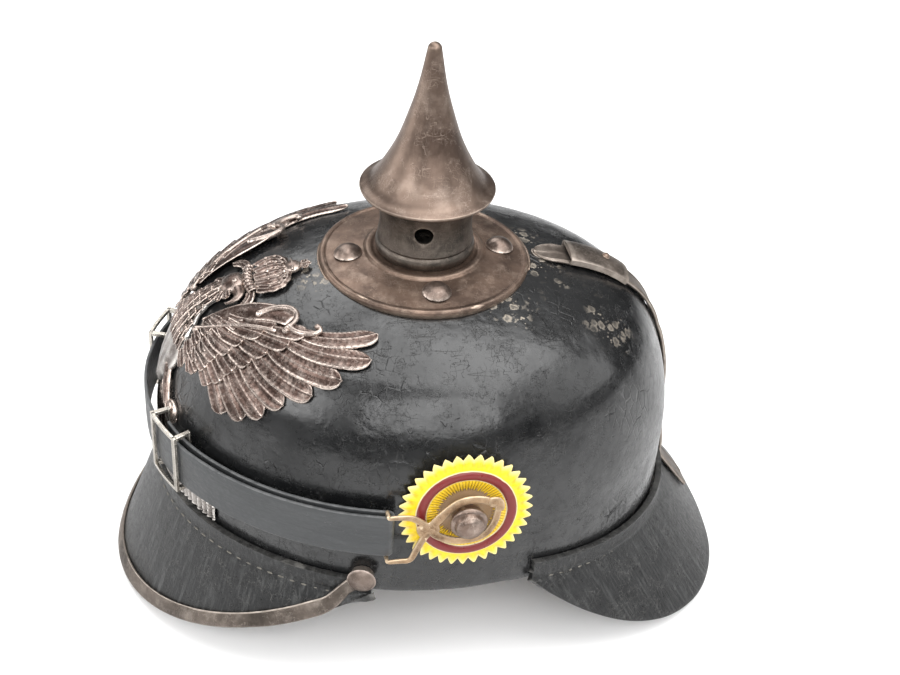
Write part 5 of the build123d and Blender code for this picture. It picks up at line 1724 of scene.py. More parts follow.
        def width(share: float) -> float:
            """Width along the body."""
            spot = share * (len(self.body_widths) - 1)
            index = min(int(spot), len(self.body_widths) - 2)
            return lerp(self.body_widths[index], self.body_widths[index + 1], smooth(0, 1, spot - index))

        def relief(across: float, along: float) -> float:
            """Height over the leather."""
            lines = 0.2 * math.sin(across * 15) * smooth(0.0, 0.2, along) * smooth(0.75, 0.5, along)
            return 0.7 + tall * max(0.0, 1 - across * across) ** 0.45 * lerp(1.0, 0.85, along) + lines

        body = self.sheet(line, width, relief, 40, 80)
        parts: List[Mesh] = []
        for row in range(rows):
            along = first_row + row * row_pitch
            centre, ahead = bezier(line, along)
            half = width(along) / 2
            number = max(3, round(half * 2 / scale_pitch))
            for index in range(number):
                across = ((index + 0.5 * (row % 2)) / (number - 1) - 0.5) * spread
                if abs(across) <= widest:
                    root = centre + Vector((across * half, 1.6))
                    lift = relief(across, along) + 0.25
                    parts.append(self.feather(root, root - ahead * scale_length, 3.9, lift, vane=SCALE))
        return body, joined(parts)

    def head(self) -> Mesh:
        """Head with a hooked beak, an eye and a ruff."""
        beak = ((4.6, 40.5), (10.6, 43.0), (13.1, 38.5), (11.0, 35.6))
        parts = [
            self.standing(ball(5.4, 24, 16, (1.05, 0.95, 0.5)), (1.2, 39.5), 2.0),
            self.sheet(beak, lambda share: lerp(5.0, 0.5, share**1.3),
                       lambda across, share: 1.6 + 1.9 * (1 - across * across) * (1 - 0.5 * share), 10, 24),
            self.bead((3.2, 41.2), 1.15, 4.2),
        ]
        for index in range(6):
            turn = math.radians(210 + index * 30)
            root = (1.5 + 3.6 * math.cos(turn), 37.5 + 3.0 * math.sin(turn))
            tip = (1.5 + 7.6 * math.cos(turn), 37.0 + 7.4 * math.sin(turn))
            parts.append(self.feather(root, tip, 3.2, 2.7, 0.6, RUFF))
        return joined(parts)

    def crown(self) -> Mesh:
        """Arched crown with beads, ribbons and an orb."""
        middle = self.crown_middle
        band = ((middle - 8.2, 46.0), (middle, 43.6), (middle + 8.2, 46.0))
        parts = [self.sheet(
            band, tapered(3.8), lambda a, share: 1.6 + 1.3 * (1 - a**4) + 0.25 * math.sin(share * 50), 10, 60
        )]
        for index in range(7):
            across = (index - 3) / 3
            parts.append(self.bead((middle + across * 7.2, 45.0 + across * across), 1.0, 3.0))
        for across in (-1.0, -0.52, 0.0, 0.52, 1.0):
            arch = ((middle + across * 7.4, 47.2 + across * across),
                    (middle + across * 14.0, 58.5 - 1.5 * abs(across)), (middle + across * 0.8, 58.6))
            parts.append(self.sheet(
                arch, lambda share: lerp(4.6, 3.0, share) + 0.9 * abs(math.sin(share * 15)),
                lambda a, share: 1.5 + 1.1 * (1 - a * a) - 0.5 * math.exp(-((a / 0.2) ** 2)), 12, 60
            ))
            parts += [self.bead(bezier(arch, step / 4)[0], 0.7, 2.7) for step in (1, 2, 3)]
        for across in (-0.75, -0.25, 0.25, 0.75):
            root, tip = (middle + across * 6.5, 47.0), (middle + across * 9.0, 55.0)
            parts.append(self.feather(root, tip, 4.6, 0.9, 0.3, LEAF))
        hoop = ((middle - 3.4, 60.4), (middle, 60.9), (middle + 3.4, 60.4))
        parts.append(self.bead((middle, 60.4), 3.6, 1.6, 0.5))
        parts.append(self.sheet(hoop, tapered(1.0), arched(2.6, 0.8), 6, 16))
        for foot, across, rise in ((61.8, 0.0, 66.4), (64.4, -2.4, 64.6), (64.4, 2.4, 64.6)):
            parts.append(self.feather((middle, foot), (middle + across, rise), 2.6, 1.6, 0.0, POINT))
        for sense in (-1, 1):
            root, tip = (middle + sense * 8.4, 45.0), (middle + sense * 15.0, 40.0)
            parts.append(self.feather(root, tip, 4.2, 1.5, -sense * 3.0, RIBBON))
        return joined(parts)

    def regalia(self) -> Mesh:
        """Legs, claws, sceptre and orb."""
        parts: List[Mesh] = []
        for sense in (-1, 1):
            leg = ((sense * 7.0, 0.5), (sense * 12.0, -5.0), (sense * 17.5, -9.0))
            parts.append(self.sheet(leg, tapered(7.0, 4.2), arched(1.3, 2.0), 10, 30))
            for spread in (-1, 0, 1):
                root, tip = (sense * 17.0, -9.0), (sense * (20.5 + abs(spread)), -11.0 + spread * 4.0)
                parts.append(self.feather(root, tip, 2.2, 1.4, sense * spread, CLAW))
        sceptre = ((-13.6, -27.0), (-17.5, -9.0), (-24.5, 19.0))
        parts.append(self.sheet(sceptre, tapered(2.4), arched(0.9, 1.6), 8, 60))
        for share, size in ((0.0, 1.7), (0.3, 1.5), (0.72, 1.5), (0.86, 1.9), (1.0, 2.6)):
            parts.append(self.bead(bezier(sceptre, share)[0], size, 1.6))
        parts.append(self.bead((21.0, -9.0), 5.0, 0.8, 0.45))
        parts.append(self.sheet(((16.2, -9.0), (21.0, -7.6), (25.8, -9.0)), tapered(1.4),
                                lambda a, share: 2.2 + math.sin(math.pi * share) + 0.4 * (1 - a * a), 6, 20))
        return joined(parts)

    def tail(self) -> Mesh:
        """Fan of nine tail feathers."""
        parts: List[Mesh] = []
        for index in range(9):
            across = (index - 4) / 4
            root, tip = (across * 4.0, -5.0), (across * 15.5, -30.0 + 7.0 * abs(across) ** 1.6)
            parts.append(self.feather(root, tip, 5.6, 0.9 + 0.2 * (index % 2), -2.2 * across))
        return joined(parts)

    def scroll(self) -> Mesh:
        """Bare pebbled ribbon low on the front, its ends folded back."""

        def place(across: float, along: float) -> Vector:
            """Point of the ribbon."""
            share = 2 * across - 1
            x = share * self.scroll_half
            turn = math.asin(x / (FORM.half_width + 2))
            fold = smooth(0.80, 0.86, abs(share))
            z = self.scroll_low + self.scroll_rise * along - 1.8 * fold + 1.2 * share**2
            lips = 0.35 * (smooth(0.16, 0.06, along) + smooth(0.84, 0.94, along))
            pebble = 0.16 * noise.noise(Vector((x * 1.1, z * 1.1, 1.0)))
            pebble += 0.32 * math.sin(x * 2.6) * smooth(0.55, 0.7, abs(share))
            height = 1.15 + 0.45 * math.sin(math.pi * along) ** 0.6 + lips + pebble - 0.55 * fold
            outer = FORM.half_width + height
            return Vector((outer * math.sin(turn), -outer * FORM.ratio * math.cos(turn), z))

        return faced(grid(420, 20, place), Vector((0, -1, 0)))

    def build(self, finishes: Finishes) -> None:
        """Make the plate.

        Args:
            finishes: The finishes.
        """
        body, scales = self.torso()
        parts = (
            *((f"wing_{side.value}", bm, "plate_metal", ()) for side, bm in paired(self.wing())),
            ("body", body, "plate_silver", ("front_plate",)),
            ("neck", scales, "plate_metal", ()),
            ("head", self.head(), "plate_metal", ()),
            ("crown", self.crown(), "plate_metal", ()),
            ("regalia", self.regalia(), "plate_metal", ()),
            ("tail", self.tail(), "plate_metal", ()),
            ("scroll", self.scroll(), "plate_silver", ()),
        )
        for name, bm, finish, nodes in parts:
            piece(f"eagle_{name}", bm, finishes[finish], Body.HELMET, nodes, "plate_metal",
                  sharp=60, wall=self.steel)


# Side fittings


@dataclass
class Cockade:
    """Toothed, painted disc with a half-round ring, dished and ribbed."""

    radius: float = 25.0
    bore: float = 3.8
    teeth: int = 36
    tooth: float = 2.6
    steel: float = 0.8
    ring: Pair = (15.0, 18.6)
    rise: float = 1.9
    ring_rise: float = 1.0
    dish: float = 0.9
    tilt: float = math.radians(4.0)
    stand: float = 0.75
    foot: float = 9.0
    rib: float = 0.9
    fine_rib: float = 0.26
    ring_sink: float = 0.12
    tooth_spans: int = 10
    rows: int = 56
    root: float = 19.2
    tip_round: float = 0.22
    post: Pair = (3.7, 85.0)

    def height(self, reach: float, turn: float) -> float:
        """Height of the front face at a distance from the middle.

        Args:
            reach: The distance.
            turn: The angle in teeth.

        Returns:
            The height.
        """
        inner, outer = self.ring
        point = abs((turn % 1.0) * 2 - 1)
        if reach >= outer:
            share = (self.radius - reach) / (self.radius - outer)
            rib = self.rib * (smooth(0, 1, point) - 0.5) * smooth(outer + 0.6, outer + 3.0, reach)
            return self.steel + self.rise * share + rib
        if reach > inner:
            away = (reach - (inner + outer) / 2) / ((outer - inner) / 2)
            bulge = self.ring_rise * math.sqrt(max(0.0, 1 - away * away))
            return self.steel + self.rise + bulge - self.ring_sink
        rib = smooth(self.foot, self.foot + 1.2, reach) * smooth(inner, inner - 1.5, reach)
        rib *= self.fine_rib * math.sin(4 * math.pi * turn)
        return self.steel + lerp(self.dish, self.rise, smooth(self.foot, inner, reach)) + rib

    def place(self, turn: float, share: float) -> Vector:
        """Point of the front face.

        Args:
            turn: Share of a turn.
            share: Place from 0 at the bore to 1 at the teeth.

        Returns:
            The point.
        """
        count = turn * self.teeth
        point = abs((count % 1.0) * 2 - 1)
        rim = self.radius - self.tooth * 1.25 * (math.hypot(1.0 - point, self.tip_round) - self.tip_round)
        reach = lerp(self.bore, self.radius, share)
        if reach > self.root:
            reach = self.root + (rim - self.root) * (reach - self.root) / (self.radius - self.root)
        angle = 2 * math.pi * turn
        return Vector((reach * math.cos(angle), reach * math.sin(angle), self.height(reach, count)))

    def build(self, finishes: Finishes) -> None:
        """Make the discs of both sides.

        Args:
            finishes: The finishes.
        """
        bm = grid(self.teeth * self.tooth_spans, self.rows, self.place)
        bmesh.ops.remove_doubles(bm, verts=bm.verts, dist=1e-4)
        faced(bm, Vector((0, 0, 1)))
        origin = Vector((FORM.reach(self.post[1]) + self.stand, *self.post))
        up = Vector((math.cos(self.tilt), 0, math.sin(self.tilt)))
        stand(bm, origin, up, Vector((math.sin(self.tilt), 0, -math.cos(self.tilt))))
        for side, disc in paired(bm):
            name = f"cockade_{side.value}"
            piece(f"{name}_finish", disc, finishes[f"{name}_paint"], Body.HELMET, (name,), name,
                  sharp=75, wall=self.steel * 0.8)


@dataclass
class SidePost:
    """Turned post with a stepped, domed head that carries cockade and hook."""

    y: float = 3.7
    z: float = 85.0
    shank: float = 3.0
    neck: float = 5.8
    neck_start: float = 91.3
    head_start: float = 94.45
    head: float = 6.9
    rise: float = 5.2
    inner_reach: float = 6.6
    nut_rise: float = 6.5
    leather: float = 3.0

    def build(self, finishes: Finishes) -> None:
        """Make both posts.

        Args:
            finishes: The finishes.
        """
        start = FORM.reach(self.z + self.nut_rise, -self.leather) - self.inner_reach
        flat = [(0.01, start), (self.shank, start), (self.shank, self.neck_start), (self.neck, self.neck_start),
                (self.neck, self.head_start), (self.head, self.head_start)]
        steps = ((1.0, 0.2), (0.9, 0.34), (0.8, 0.37), (0.79, 0.44), (0.72, 0.72), (0.52, 0.92), (0.26, 0.99))
        flat += [(self.head * wide, self.head_start + self.rise * high) for wide, high in steps]
        flat.append((0.0, self.head_start + self.rise))
        left = stand(spun(rounded(flat, 0.35), 64), Vector((0, self.y, self.z)), Vector((1, 0, 0)))
        for side, bm in paired(left):
            name = f"side_post_{side.value}"
            piece(f"{name}_finish", bm, finishes["post_steel"], Body.HELMET, (name,), "brown_steel")


@dataclass
class StrapHook:
    """Fish-shaped hook: a pointed eye round the post, a crossing and two tails that hold a bar."""

    plane_x: float = 93.5
    thick: float = 0.6
    broad: float = 3.3
    bar_radius: float = 0.75
    bar_x: float = 89.6
    bar_reach: float = 29.0
    fork: float = 10.6
    level: float = -7.0
    post: Pair = (3.7, 85.0)

    def bar(self, points: Sequence[Pair], broad: float, taper: float, lift: float) -> Mesh:
        """Flat bar with round edges through points of the hook's plane.

        Args:
            points: Places along and up from the post.
            broad: Width over thickness.
            taper: Share of the width kept at its end.
            lift: Distance outward.

        Returns:
            The mesh.
        """

        cap_rate, squareness, step = 2.2, 0.7, 0.01
        round_spans, spans = 20, 14 * len(points)

        def path(share: float) -> Vector:
            """Middle of the bar."""
            spot = through(points, share)
            return Vector((self.plane_x + lift, self.post[0] + spot.x, self.post[1] + spot.y))

        def place(turn: float, share: float) -> Vector:
            """Point of the bar's skin."""
            ahead = (path(min(share + step, 1)) - path(max(share - step, 0))).normalized()
            side = ahead.cross(Vector((1, 0, 0))).normalized()
            near_end = min(share, 1 - share) * len(points) * cap_rate
            cap = math.sqrt(max(0.0, 1 - (1 - min(1.0, near_end)) ** 2))
            half = self.thick * broad * lerp(1.0, taper, share) * cap
            angle = 2 * math.pi * turn
            wide = math.copysign(abs(math.cos(angle)) ** squareness, math.cos(angle))
            deep = math.copysign(abs(math.sin(angle)) ** squareness, math.sin(angle))
            return path(share) + side * (half * wide) + Vector((self.thick * cap * deep, 0, 0))

        bm = grid(round_spans, spans, place, merge=True)
        bmesh.ops.recalc_face_normals(bm, faces=bm.faces)
        return bm

    def shape(self) -> Mesh:
        """The left hook."""
        high, low = self.level + self.fork, self.level - self.fork
        bars = (
            (((-17.5, -5.2), (-14.0, -2.6), (-9.5, 3.0), (-3.0, 8.8), (5.0, 9.2), (11.6, 5.6)), 1.0, 0.8, 0.0),
            (((-17.5, -0.8), (-14.0, -3.4), (-9.8, -7.2), (-2.5, -9.6), (5.6, -8.0), (9.6, -2.0), (11.0, 6.4)),
             0.9, 0.75, 0.05),
            (((-12.0, -4.6), (-15.6, -1.0), (-20.0, 2.6), (-24.5, high), (-29.6, high)), 0.8, 0.55, 0.0),
            (((-12.0, -1.8), (-15.4, -6.0), (-18.4, -12.5), (-20.6, low + 0.4), (-24.5, low), (-29.6, low)),
             0.8, 0.55, 0.05),
            (((-18.4, -4.6), (-14.6, -3.1), (-10.6, -1.6)), 1.5, 1.0, -0.05),
            (((6.8, 8.2), (10.4, 8.0), (11.4, 3.6)), 1.1, 0.8, 0.35),
        )
        y, z = self.post[0] - self.bar_reach, self.post[1] + self.level
        corners = [Vector((self.plane_x, y, z - self.fork)), Vector((self.bar_x, y, z - self.fork)),
                   Vector((self.bar_x, y, z + self.fork)), Vector((self.plane_x, y, z + self.fork))]
        parts = [self.bar(points, self.broad * share, taper, lift) for points, share, taper, lift in bars]
        for start, end, spans in ((0, 1, 10), (3, 2, 10), (1, 2, 24)):
            line = corners[start], corners[end]
            parts.append(tube(lambda share: line[0].lerp(line[1], share), tapered(self.bar_radius), spans))
        return joined(parts)

    def build(self, finishes: Finishes) -> None:
        """Make both hooks.

        Args:
            finishes: The finishes.
        """
        for side, bm in paired(self.shape()):
            name = f"strap_hook_{side.value}"
            piece(f"{name}_finish", bm, finishes["hook_brass"], Body.STRAP, (name,), "hook_brass", sharp=70)


# The chin strap


@dataclass
class ChinStrap:
    """Leather band between the hooks, both ends folded back through a buckle."""

    leather: float = 1.4
    width: float = 19.0
    z: float = 78.0
    radius: float = 82.0
    centre_y: float = -28.5
    front_turn: float = math.radians(38.0)
    return_turn: float = math.radians(21.0)
    side_radius: float = 113.388
    side_turn: float = math.radians(41.05)
    depth: float = 4.8
    rows: int = 560
    columns: int = 18

    def plan(self, turn: float, inset: float) -> Vector:
        """Plan point of the left half at a turn from the front.

        Args:
            turn: The turn.
            inset: Distance inward from the outer face.

        Returns:
            The point.
        """
        if turn <= self.front_turn:
            reach = self.radius - inset
            return Vector((reach * math.sin(turn), self.centre_y - reach * math.cos(turn), 0))
        gap = self.radius - self.side_radius
        centre = Vector((gap * math.sin(self.front_turn), self.centre_y - gap * math.cos(self.front_turn), 0))
        reach = self.side_radius - inset
        return centre + Vector((reach * math.sin(turn), -reach * math.cos(turn), 0))

    def line(self) -> List[Vector]:
        """Grain side of the leather from the middle of the front to the left end."""
        outer, bend, inner = 220, 24, 160
        end = self.front_turn + self.side_turn
        points = [self.plan(end * index / outer, 0.0) for index in range(outer + 1)]
        first, last = self.plan(end, 0.0), self.plan(end, self.depth)
        middle, half = (first + last) / 2, (first - last) / 2
        away = Vector((math.cos(end), math.sin(end), 0)) * half.length
        for index in range(1, bend):
            turn = math.pi * index / bend
            points.append(middle + half * math.cos(turn) + away * math.sin(turn))
        turns = [lerp(end, self.return_turn, index / inner) for index in range(inner + 1)]
        return points + [self.plan(turn, self.depth) for turn in turns]

    def build(self, finishes: Finishes) -> None:
        """Make the strap.

        Args:
            finishes: The finishes.
        """
        half = self.line()
        line = [Vector((-point.x, point.y, 0)) for point in reversed(half[1:])] + half
        lengths = running_lengths(line)

        def place(across: float, along: float) -> Vector:
            """Point of the leather's grain side."""
            distance = along * lengths[-1]
            spot = walked(line, lengths, distance)
            ahead = walked(line, lengths, distance + 0.4) - walked(line, lengths, distance - 0.4)
            out = ahead.cross(Vector((0, 0, 1))).normalized()
            rim = abs(2 * across - 1)
            tool = 0.14 * math.exp(-(((rim - 0.86) / 0.035) ** 2))
            crown = 0.1 * (1 - rim**6)
            wave = 0.1 * noise.noise(Vector((distance * 0.06, across * 2.0, 4.0)))
            spot = spot + out * (crown + wave - tool - 0.2)
            edge = 0.12 * noise.noise(Vector((distance * 0.09, 7.0 + round(across), 1.0)))
            spot.z = self.z + (across - 0.5) * (self.width - 0.3) + edge
            return spot

        bm = grid(self.columns, self.rows, place)
        faced(bm, Vector((0, -1, 0)))
        piece("chin_strap_finish", bm, finishes["strap_leather"], Body.STRAP, ("chin_strap",), "strap_leather",
              sharp=60, wall=self.leather - 0.15, bevel=0.35)


@dataclass
class Buckle:
    """Slide frame of flat steel round both layers of the strap."""

    radius: float = 82.0
    centre: Pair = (-28.5, 78.0)
    turn: float = math.radians(18.0)
    length: float = 20.0
    height: float = 26.0
    wire: float = 2.0
    gap: float = 0.35
    inner: float = 76.05
    inner_steel: float = 0.9
    cross_steel: float = 1.5
    flatness: float = 0.7
    overlap: float = 0.1
    bevel: float = 0.42

    def block(self, near: float, far: float, first: float, last: float, low: float, high: float) -> Mesh:
        """Bent block of the frame.

        Args:
            near: Its inner radius.
            far: Its outer radius.
            first: Turn of its start from the buckle's middle.
            last: Turn of its end.
            low: Its lower end, from the buckle's middle.
            high: Its upper end.

        Returns:
            The mesh.
        """
        bm = bmesh.new()
        bmesh.ops.create_cube(bm, size=1.0)
        long_edges = [edge for edge in bm.edges if abs(edge.verts[0].co.x - edge.verts[1].co.x) > 0.5]
        bmesh.ops.subdivide_edges(bm, edges=long_edges, cuts=8, use_grid_fill=True)
        middle = self.turn + self.length / 2 / self.radius
        for vert in bm.verts:
            turn = middle + lerp(first, last, vert.co.x + 0.5)
            reach = lerp(near, far, vert.co.y + 0.5)
            z = self.centre[1] + lerp(low, high, vert.co.z + 0.5)
            vert.co = Vector((reach * math.sin(turn), self.centre[0] - reach * math.cos(turn), z))
        bmesh.ops.recalc_face_normals(bm, faces=bm.faces)
        return bm

    def shape(self) -> Mesh:
        """The left buckle."""
        half = self.length / 2 / self.radius
        wire = self.wire / self.radius
        near = self.radius + self.gap
        far = near + self.wire * self.flatness
        top = self.height / 2
        inside = self.inner + self.inner_steel
        parts = []
        for start, end in ((-half, -half + wire), (half - wire, half)):
            parts.append(self.block(near, far, start, end, -top, top))
            parts.append(self.block(self.inner, inside, start, end, -top, top))
            for low, high in ((-top, -top + self.cross_steel), (top - self.cross_steel, top)):
                parts.append(self.block(inside - self.overlap, near + self.overlap, start, end, low, high))
        for low, high in ((-top, -top + self.cross_steel), (top - self.cross_steel, top)):
            parts.append(self.block(near, far, -half + wire * 0.5, half - wire * 0.5, low, high))
        return joined(parts)

    def build(self, finishes: Finishes) -> None:
        """Make both buckles.

        Args:
            finishes: The finishes.
        """
        for side, bm in paired(self.shape()):
            piece(f"strap_buckle_{side.value}_finish", bm, finishes["buckle_steel"], Body(f"buckle_{side.value}"),
                  (f"strap_buckle_{side.value}",), "buckle_steel", sharp=35, bevel=self.bevel)


# Studs, base plate and spike


@dataclass
class SplitStud:
    """Domed stud with a shank and two folded legs."""

    head: float
    rise: float
    shank: float
    legs: float
    leg_width: float = 2.2
    leg_steel: float = 0.6
    shank_radius: float = 1.5

    def shape(self) -> Mesh:
        """The stud, standing on Z with its head above."""
        steps, lip, under = 12, 0.25, -0.02
        sphere = (self.head**2 + self.rise**2) / (2 * self.rise)
        full = math.asin(min(1.0, self.head / sphere))
        profile = []
        for index in range(steps + 1):
            turn = full * index / steps
            profile.append((sphere * math.sin(turn), self.rise - sphere + sphere * math.cos(turn)))
        profile += [(self.head - lip, under), (self.shank_radius, under), (self.shank_radius, -self.shank),
                    (0.0, -self.shank)]
        parts = [spun(profile, 40)]
        for sense in (-1, 1):
            leg = bmesh.new()
            bmesh.ops.create_cube(leg, size=1.0)
            bmesh.ops.scale(leg, vec=(self.legs, self.leg_width, self.leg_steel), verts=leg.verts)
            away = (sense * self.legs / 2, 0, self.leg_steel / 2 - self.shank)
            bmesh.ops.translate(leg, vec=away, verts=leg.verts)
            parts.append(leg)
        return joined(parts)


@dataclass
class BasePlate:
    """Round plate with a beaded rim and a ring for the spike, held by four studs."""

    radius: float = 40.9
    rim: float = 139.7
    bead: Pair = (2.6, 0.5)
    stud_height: float = 141.7
    stud_circle: float = 29.8
    ring: Tuple[float, float, float, float] = (23.6, 3.6, 142.4, 1.3)
    seat: float = 143.2
    hole: float = 14.4

    def build(self, finishes: Finishes) -> None:
        """Make the plate and its studs.

        Args:
            finishes: The finishes.
        """
        outer, wide, foot, rise = self.ring
        bead, crest = self.bead
        low = self.rim - 3.0
        points = [
            (self.hole, self.seat - 0.7), (self.hole, self.seat), (outer - wide, self.seat),
            (outer - wide * 0.75, foot + rise), (outer - wide * 0.25, foot + rise), (outer, foot),
            (self.stud_circle, self.stud_height), (self.radius - bead, self.rim),
            (self.radius - bead * 0.8, self.rim + crest), (self.radius - bead * 0.3, self.rim + crest),
            (self.radius, self.rim - crest), (self.radius, low),
        ]
        bm = spun(rounded(points, 0.7), 160)
        for vert in bm.verts:
            if vert.co.z < self.rim - crest - 0.8:
                vert.co.z = FORM.level(vert.co.x, vert.co.y, 0.1)
        piece("base_plate_finish", bm, finishes["brown_steel"], Body.HELMET, ("base_plate",), "brown_steel",
              sharp=50, wall=0.7)
        studs = []
        lean = math.atan2(self.stud_height - self.rim, self.radius - bead - self.stud_circle) / 2
        shank = self.stud_height - FORM.level(self.stud_circle, 0, -3.0) + 2.5
        for index in range(4):
            turn = index * math.pi / 2
            way = Vector((math.cos(turn), math.sin(turn), 0))
            up = way * math.sin(lean) + Vector((0, 0, math.cos(lean)))
            origin = way * self.stud_circle + Vector((0, 0, self.stud_height + 0.2))
            stud = SplitStud(head=5.6, rise=3.4, shank=shank, legs=7.0)
            studs.append(stand(stud.shape(), origin, up, way))
        piece("base_studs_finish", joined(studs), finishes["stud_steel"], Body.HELMET, ("base_studs",),
              "brown_steel", sharp=50)


@dataclass
class TrimStuds:
    """Flat domed studs at the ends of the front trim."""

    y: float = -32.6
    z: float = 52.6
    stand: float = 3.85

    def seat(self) -> Tuple[Vector, Vector]:
        """Middle of the left head's underside and its way out."""
        x = FORM.half_width * math.sqrt(1 - (self.y / FORM.half_length) ** 2)
        up = FORM.normal(x, self.y, self.z)
        return Vector((x, self.y, self.z)) + up * self.stand, up

    def build(self, finishes: Finishes) -> None:
        """Make the studs.

        Args:
            finishes: The finishes.
        """
        spot, up = self.seat()
        stud = SplitStud(head=5.5, rise=2.3, shank=8.15, legs=2.2)
        studs = paired(stand(stud.shape(), spot, up, Vector((0, 0, 1))))
        piece("trim_studs_finish", joined(bm for _, bm in studs), finishes["trim_stud_steel"], Body.HELMET,
              ("trim_studs",), "grey_steel", sharp=50)


@dataclass
class SpikeCone:
    """Concave cone with a thin lip and a blunt tip."""

    rim: Pair = (25.8, 170.6)
    lip: float = 1.5
    tip: Pair = (2.7, 228.5)
    flank: Tuple[Pair, ...] = ((20.64, 174.36), (13.03, 187.97), (8.05, 202.16), (5.16, 212.87))
    bore: Tuple[Pair, ...] = ((5.0, 195.16), (15.0, 169.1))
    round_spans: int = 128

    def build(self, finishes: Finishes) -> None:
        """Make the cone.

        Args:
            finishes: The finishes.
        """
        radius, top = self.tip
        spans, cap_spans = 90, 7
        points = [self.rim, *self.flank, (radius, top - radius)]
        flank = [tuple(through(points, index / spans)) for index in range(spans + 1)]
        turns = [index / cap_spans * math.pi / 2 for index in range(1, cap_spans)]
        cap = [(radius * math.cos(turn), top - radius + radius * math.sin(turn)) for turn in turns]
        reach, height = self.rim
        edge = [(reach - 0.9, height - self.lip), (reach - 0.25, height - self.lip * 0.75),
                (reach + 0.02, height - 0.5)]
        inner = [(0.0, self.bore[0][1]), *self.bore, (reach - 2.0, height - self.lip)]
        bm = spun(inner + edge + flank + cap + [(0.0, top)], self.round_spans)
        piece("spike_cone_finish", bm, finishes["cone_steel"], Body.SPIKE, ("spike_cone",), "brown_steel",
              sharp=50)


# The rear spine


@dataclass
class RearSpine:
    """Steel strip down the rear with raised edges and a pointed tongue."""

    visor: Visor
    width: float = 13.0
    stand: float = 2.3
    tip_y: float = 43.4
    tip_run: float = 9.0
    foot_height: float = 12.2
    crown_end: float = 97.0
    crown_spans: int = 69
    wall_end: float = 62.0
    wall_spans: int = 29
    columns: int = 28
    rows: int = 260

    def line(self) -> List[Vector]:
        """Points of the skull and visor in the middle plane that the strip lies on."""
        points: List[Vector] = []
        for index in range(self.crown_spans + 1):
            y = lerp(self.tip_y, self.crown_end, index / self.crown_spans)
            points.append(Vector((0, y, FORM.level(0, y))))
        start = points[-1].z
        for index in range(1, self.wall_spans + 1):
            z = lerp(start, self.wall_end, index / self.wall_spans)
            points.append(Vector((0, FORM.reach(z) * FORM.ratio, z)))
        top = self.visor.flange_middle
        points.append(Vector((0, self.visor.seat(0, -6.0).y - 1.4, top + 8)))
        points.append(Vector((0, self.visor.seat(0, 0).y, top - 0.5)))
        crease, rim = self.visor.seat(0, self.visor.flange), self.visor.rim(0)
        return points + [crease, crease.lerp(rim, (crease.z - self.foot_height) / (crease.z - rim.z))]

    def build(self, finishes: Finishes) -> None:
        """Make the strip.

        Args:
            finishes: The finishes.
        """
        line = self.line()
        lengths = running_lengths(line)

        def at(distance: float) -> Vector:
            """Point at a distance along the line, its corners eased."""
            total = Vector()
            for shift in (-1.6, -0.8, 0.0, 0.8, 1.6):
                total += walked(line, lengths, distance + shift)
            return total / 5

        def place(across: float, along: float) -> Vector:
            """Point of the strip's face."""
            distance = along * lengths[-1]
            spot = at(distance)
            ahead = at(distance + 0.5) - at(distance - 0.5)
            out = Vector((0, -ahead.z, ahead.y)).normalized()
            side = 2 * across - 1
            point = min(1.0, distance / self.tip_run)
            half = self.width / 2 * (1 - (1 - point) ** 2) ** 0.6
            end = min(1.0, (lengths[-1] - distance) / 2.0)
            half *= lerp(0.72, 1.0, smooth(0, 1, end))
            lip = 0.35 * math.exp(-(((abs(side) - 0.84) / 0.08) ** 2))
            ridge = 0.35 * math.exp(-((side / 0.1) ** 2)) * smooth(16.0, 10.0, distance)
            height = self.stand * lerp(0.45, 1.0, point) - 0.5 + lip + ridge - 0.35 * smooth(0.86, 1.0, abs(side))
            return spot + out * height + Vector((side * half, 0, 0))

        bm = grid(self.columns, self.rows, place)
        faced(bm, Vector((0, 0, 1)))
        piece("rear_spine_finish", bm, finishes["grey_steel"], Body.HELMET, ("rear_spine",), "grey_steel",
              sharp=60, wall=1.1)


# Small metalwork kept from the construction


@dataclass
class Hardware:
    """Pieces whose built shape is shown as it is, smoothed and given a finish."""

    frame: Dict
    sharp: float = 30.0
    nodes: Tuple[Tuple[str, str, Body], ...] = (
        ("base_stud_washers", "dark_steel", Body.HELMET), ("bayonet_collar", "dark_steel", Body.HELMET),
        ("spike_neck", "dark_steel", Body.SPIKE), ("spike_lugs", "dark_steel", Body.SPIKE),
        ("spine_prongs", "dark_steel", Body.HELMET), ("vent_slider", "grey_steel", Body.SLIDE),
        ("slider_knob", "brown_steel", Body.SLIDE), ("plate_loops", "dark_steel", Body.HELMET),
        ("plate_pins", "pin_leather", Body.HELMET), ("liner_band", "liner_leather", Body.HELMET),
        ("liner_tongues", "liner_leather", Body.HELMET), ("post_washer_left", "dark_steel", Body.HELMET),
        ("post_nut_left", "dark_steel", Body.HELMET), ("post_washer_right", "dark_steel", Body.HELMET),
        ("post_nut_right", "dark_steel", Body.HELMET),
    )

    def build(self, finishes: Finishes) -> None:
        """Dress every piece with a welded, smooth-shaded copy of its node.

        Args:
            finishes: The finishes.
        """
        for node, finish, body in self.nodes:
            bm = bmesh.new()
            bm.from_mesh(self.frame["nodes"][node].data)
            bmesh.ops.remove_doubles(bm, verts=bm.verts, dist=WELD * MM)
            bmesh.ops.translate(bm, vec=(0, -SHIFT_Y * MM, 0), verts=bm.verts)
            bmesh.ops.scale(bm, vec=(1 / MM, 1 / MM, 1 / MM), verts=bm.verts)
            piece(f"{node}_finish", bm, finishes[finish], body, (node,), finish, self.sharp)


# Floor, lights and camera


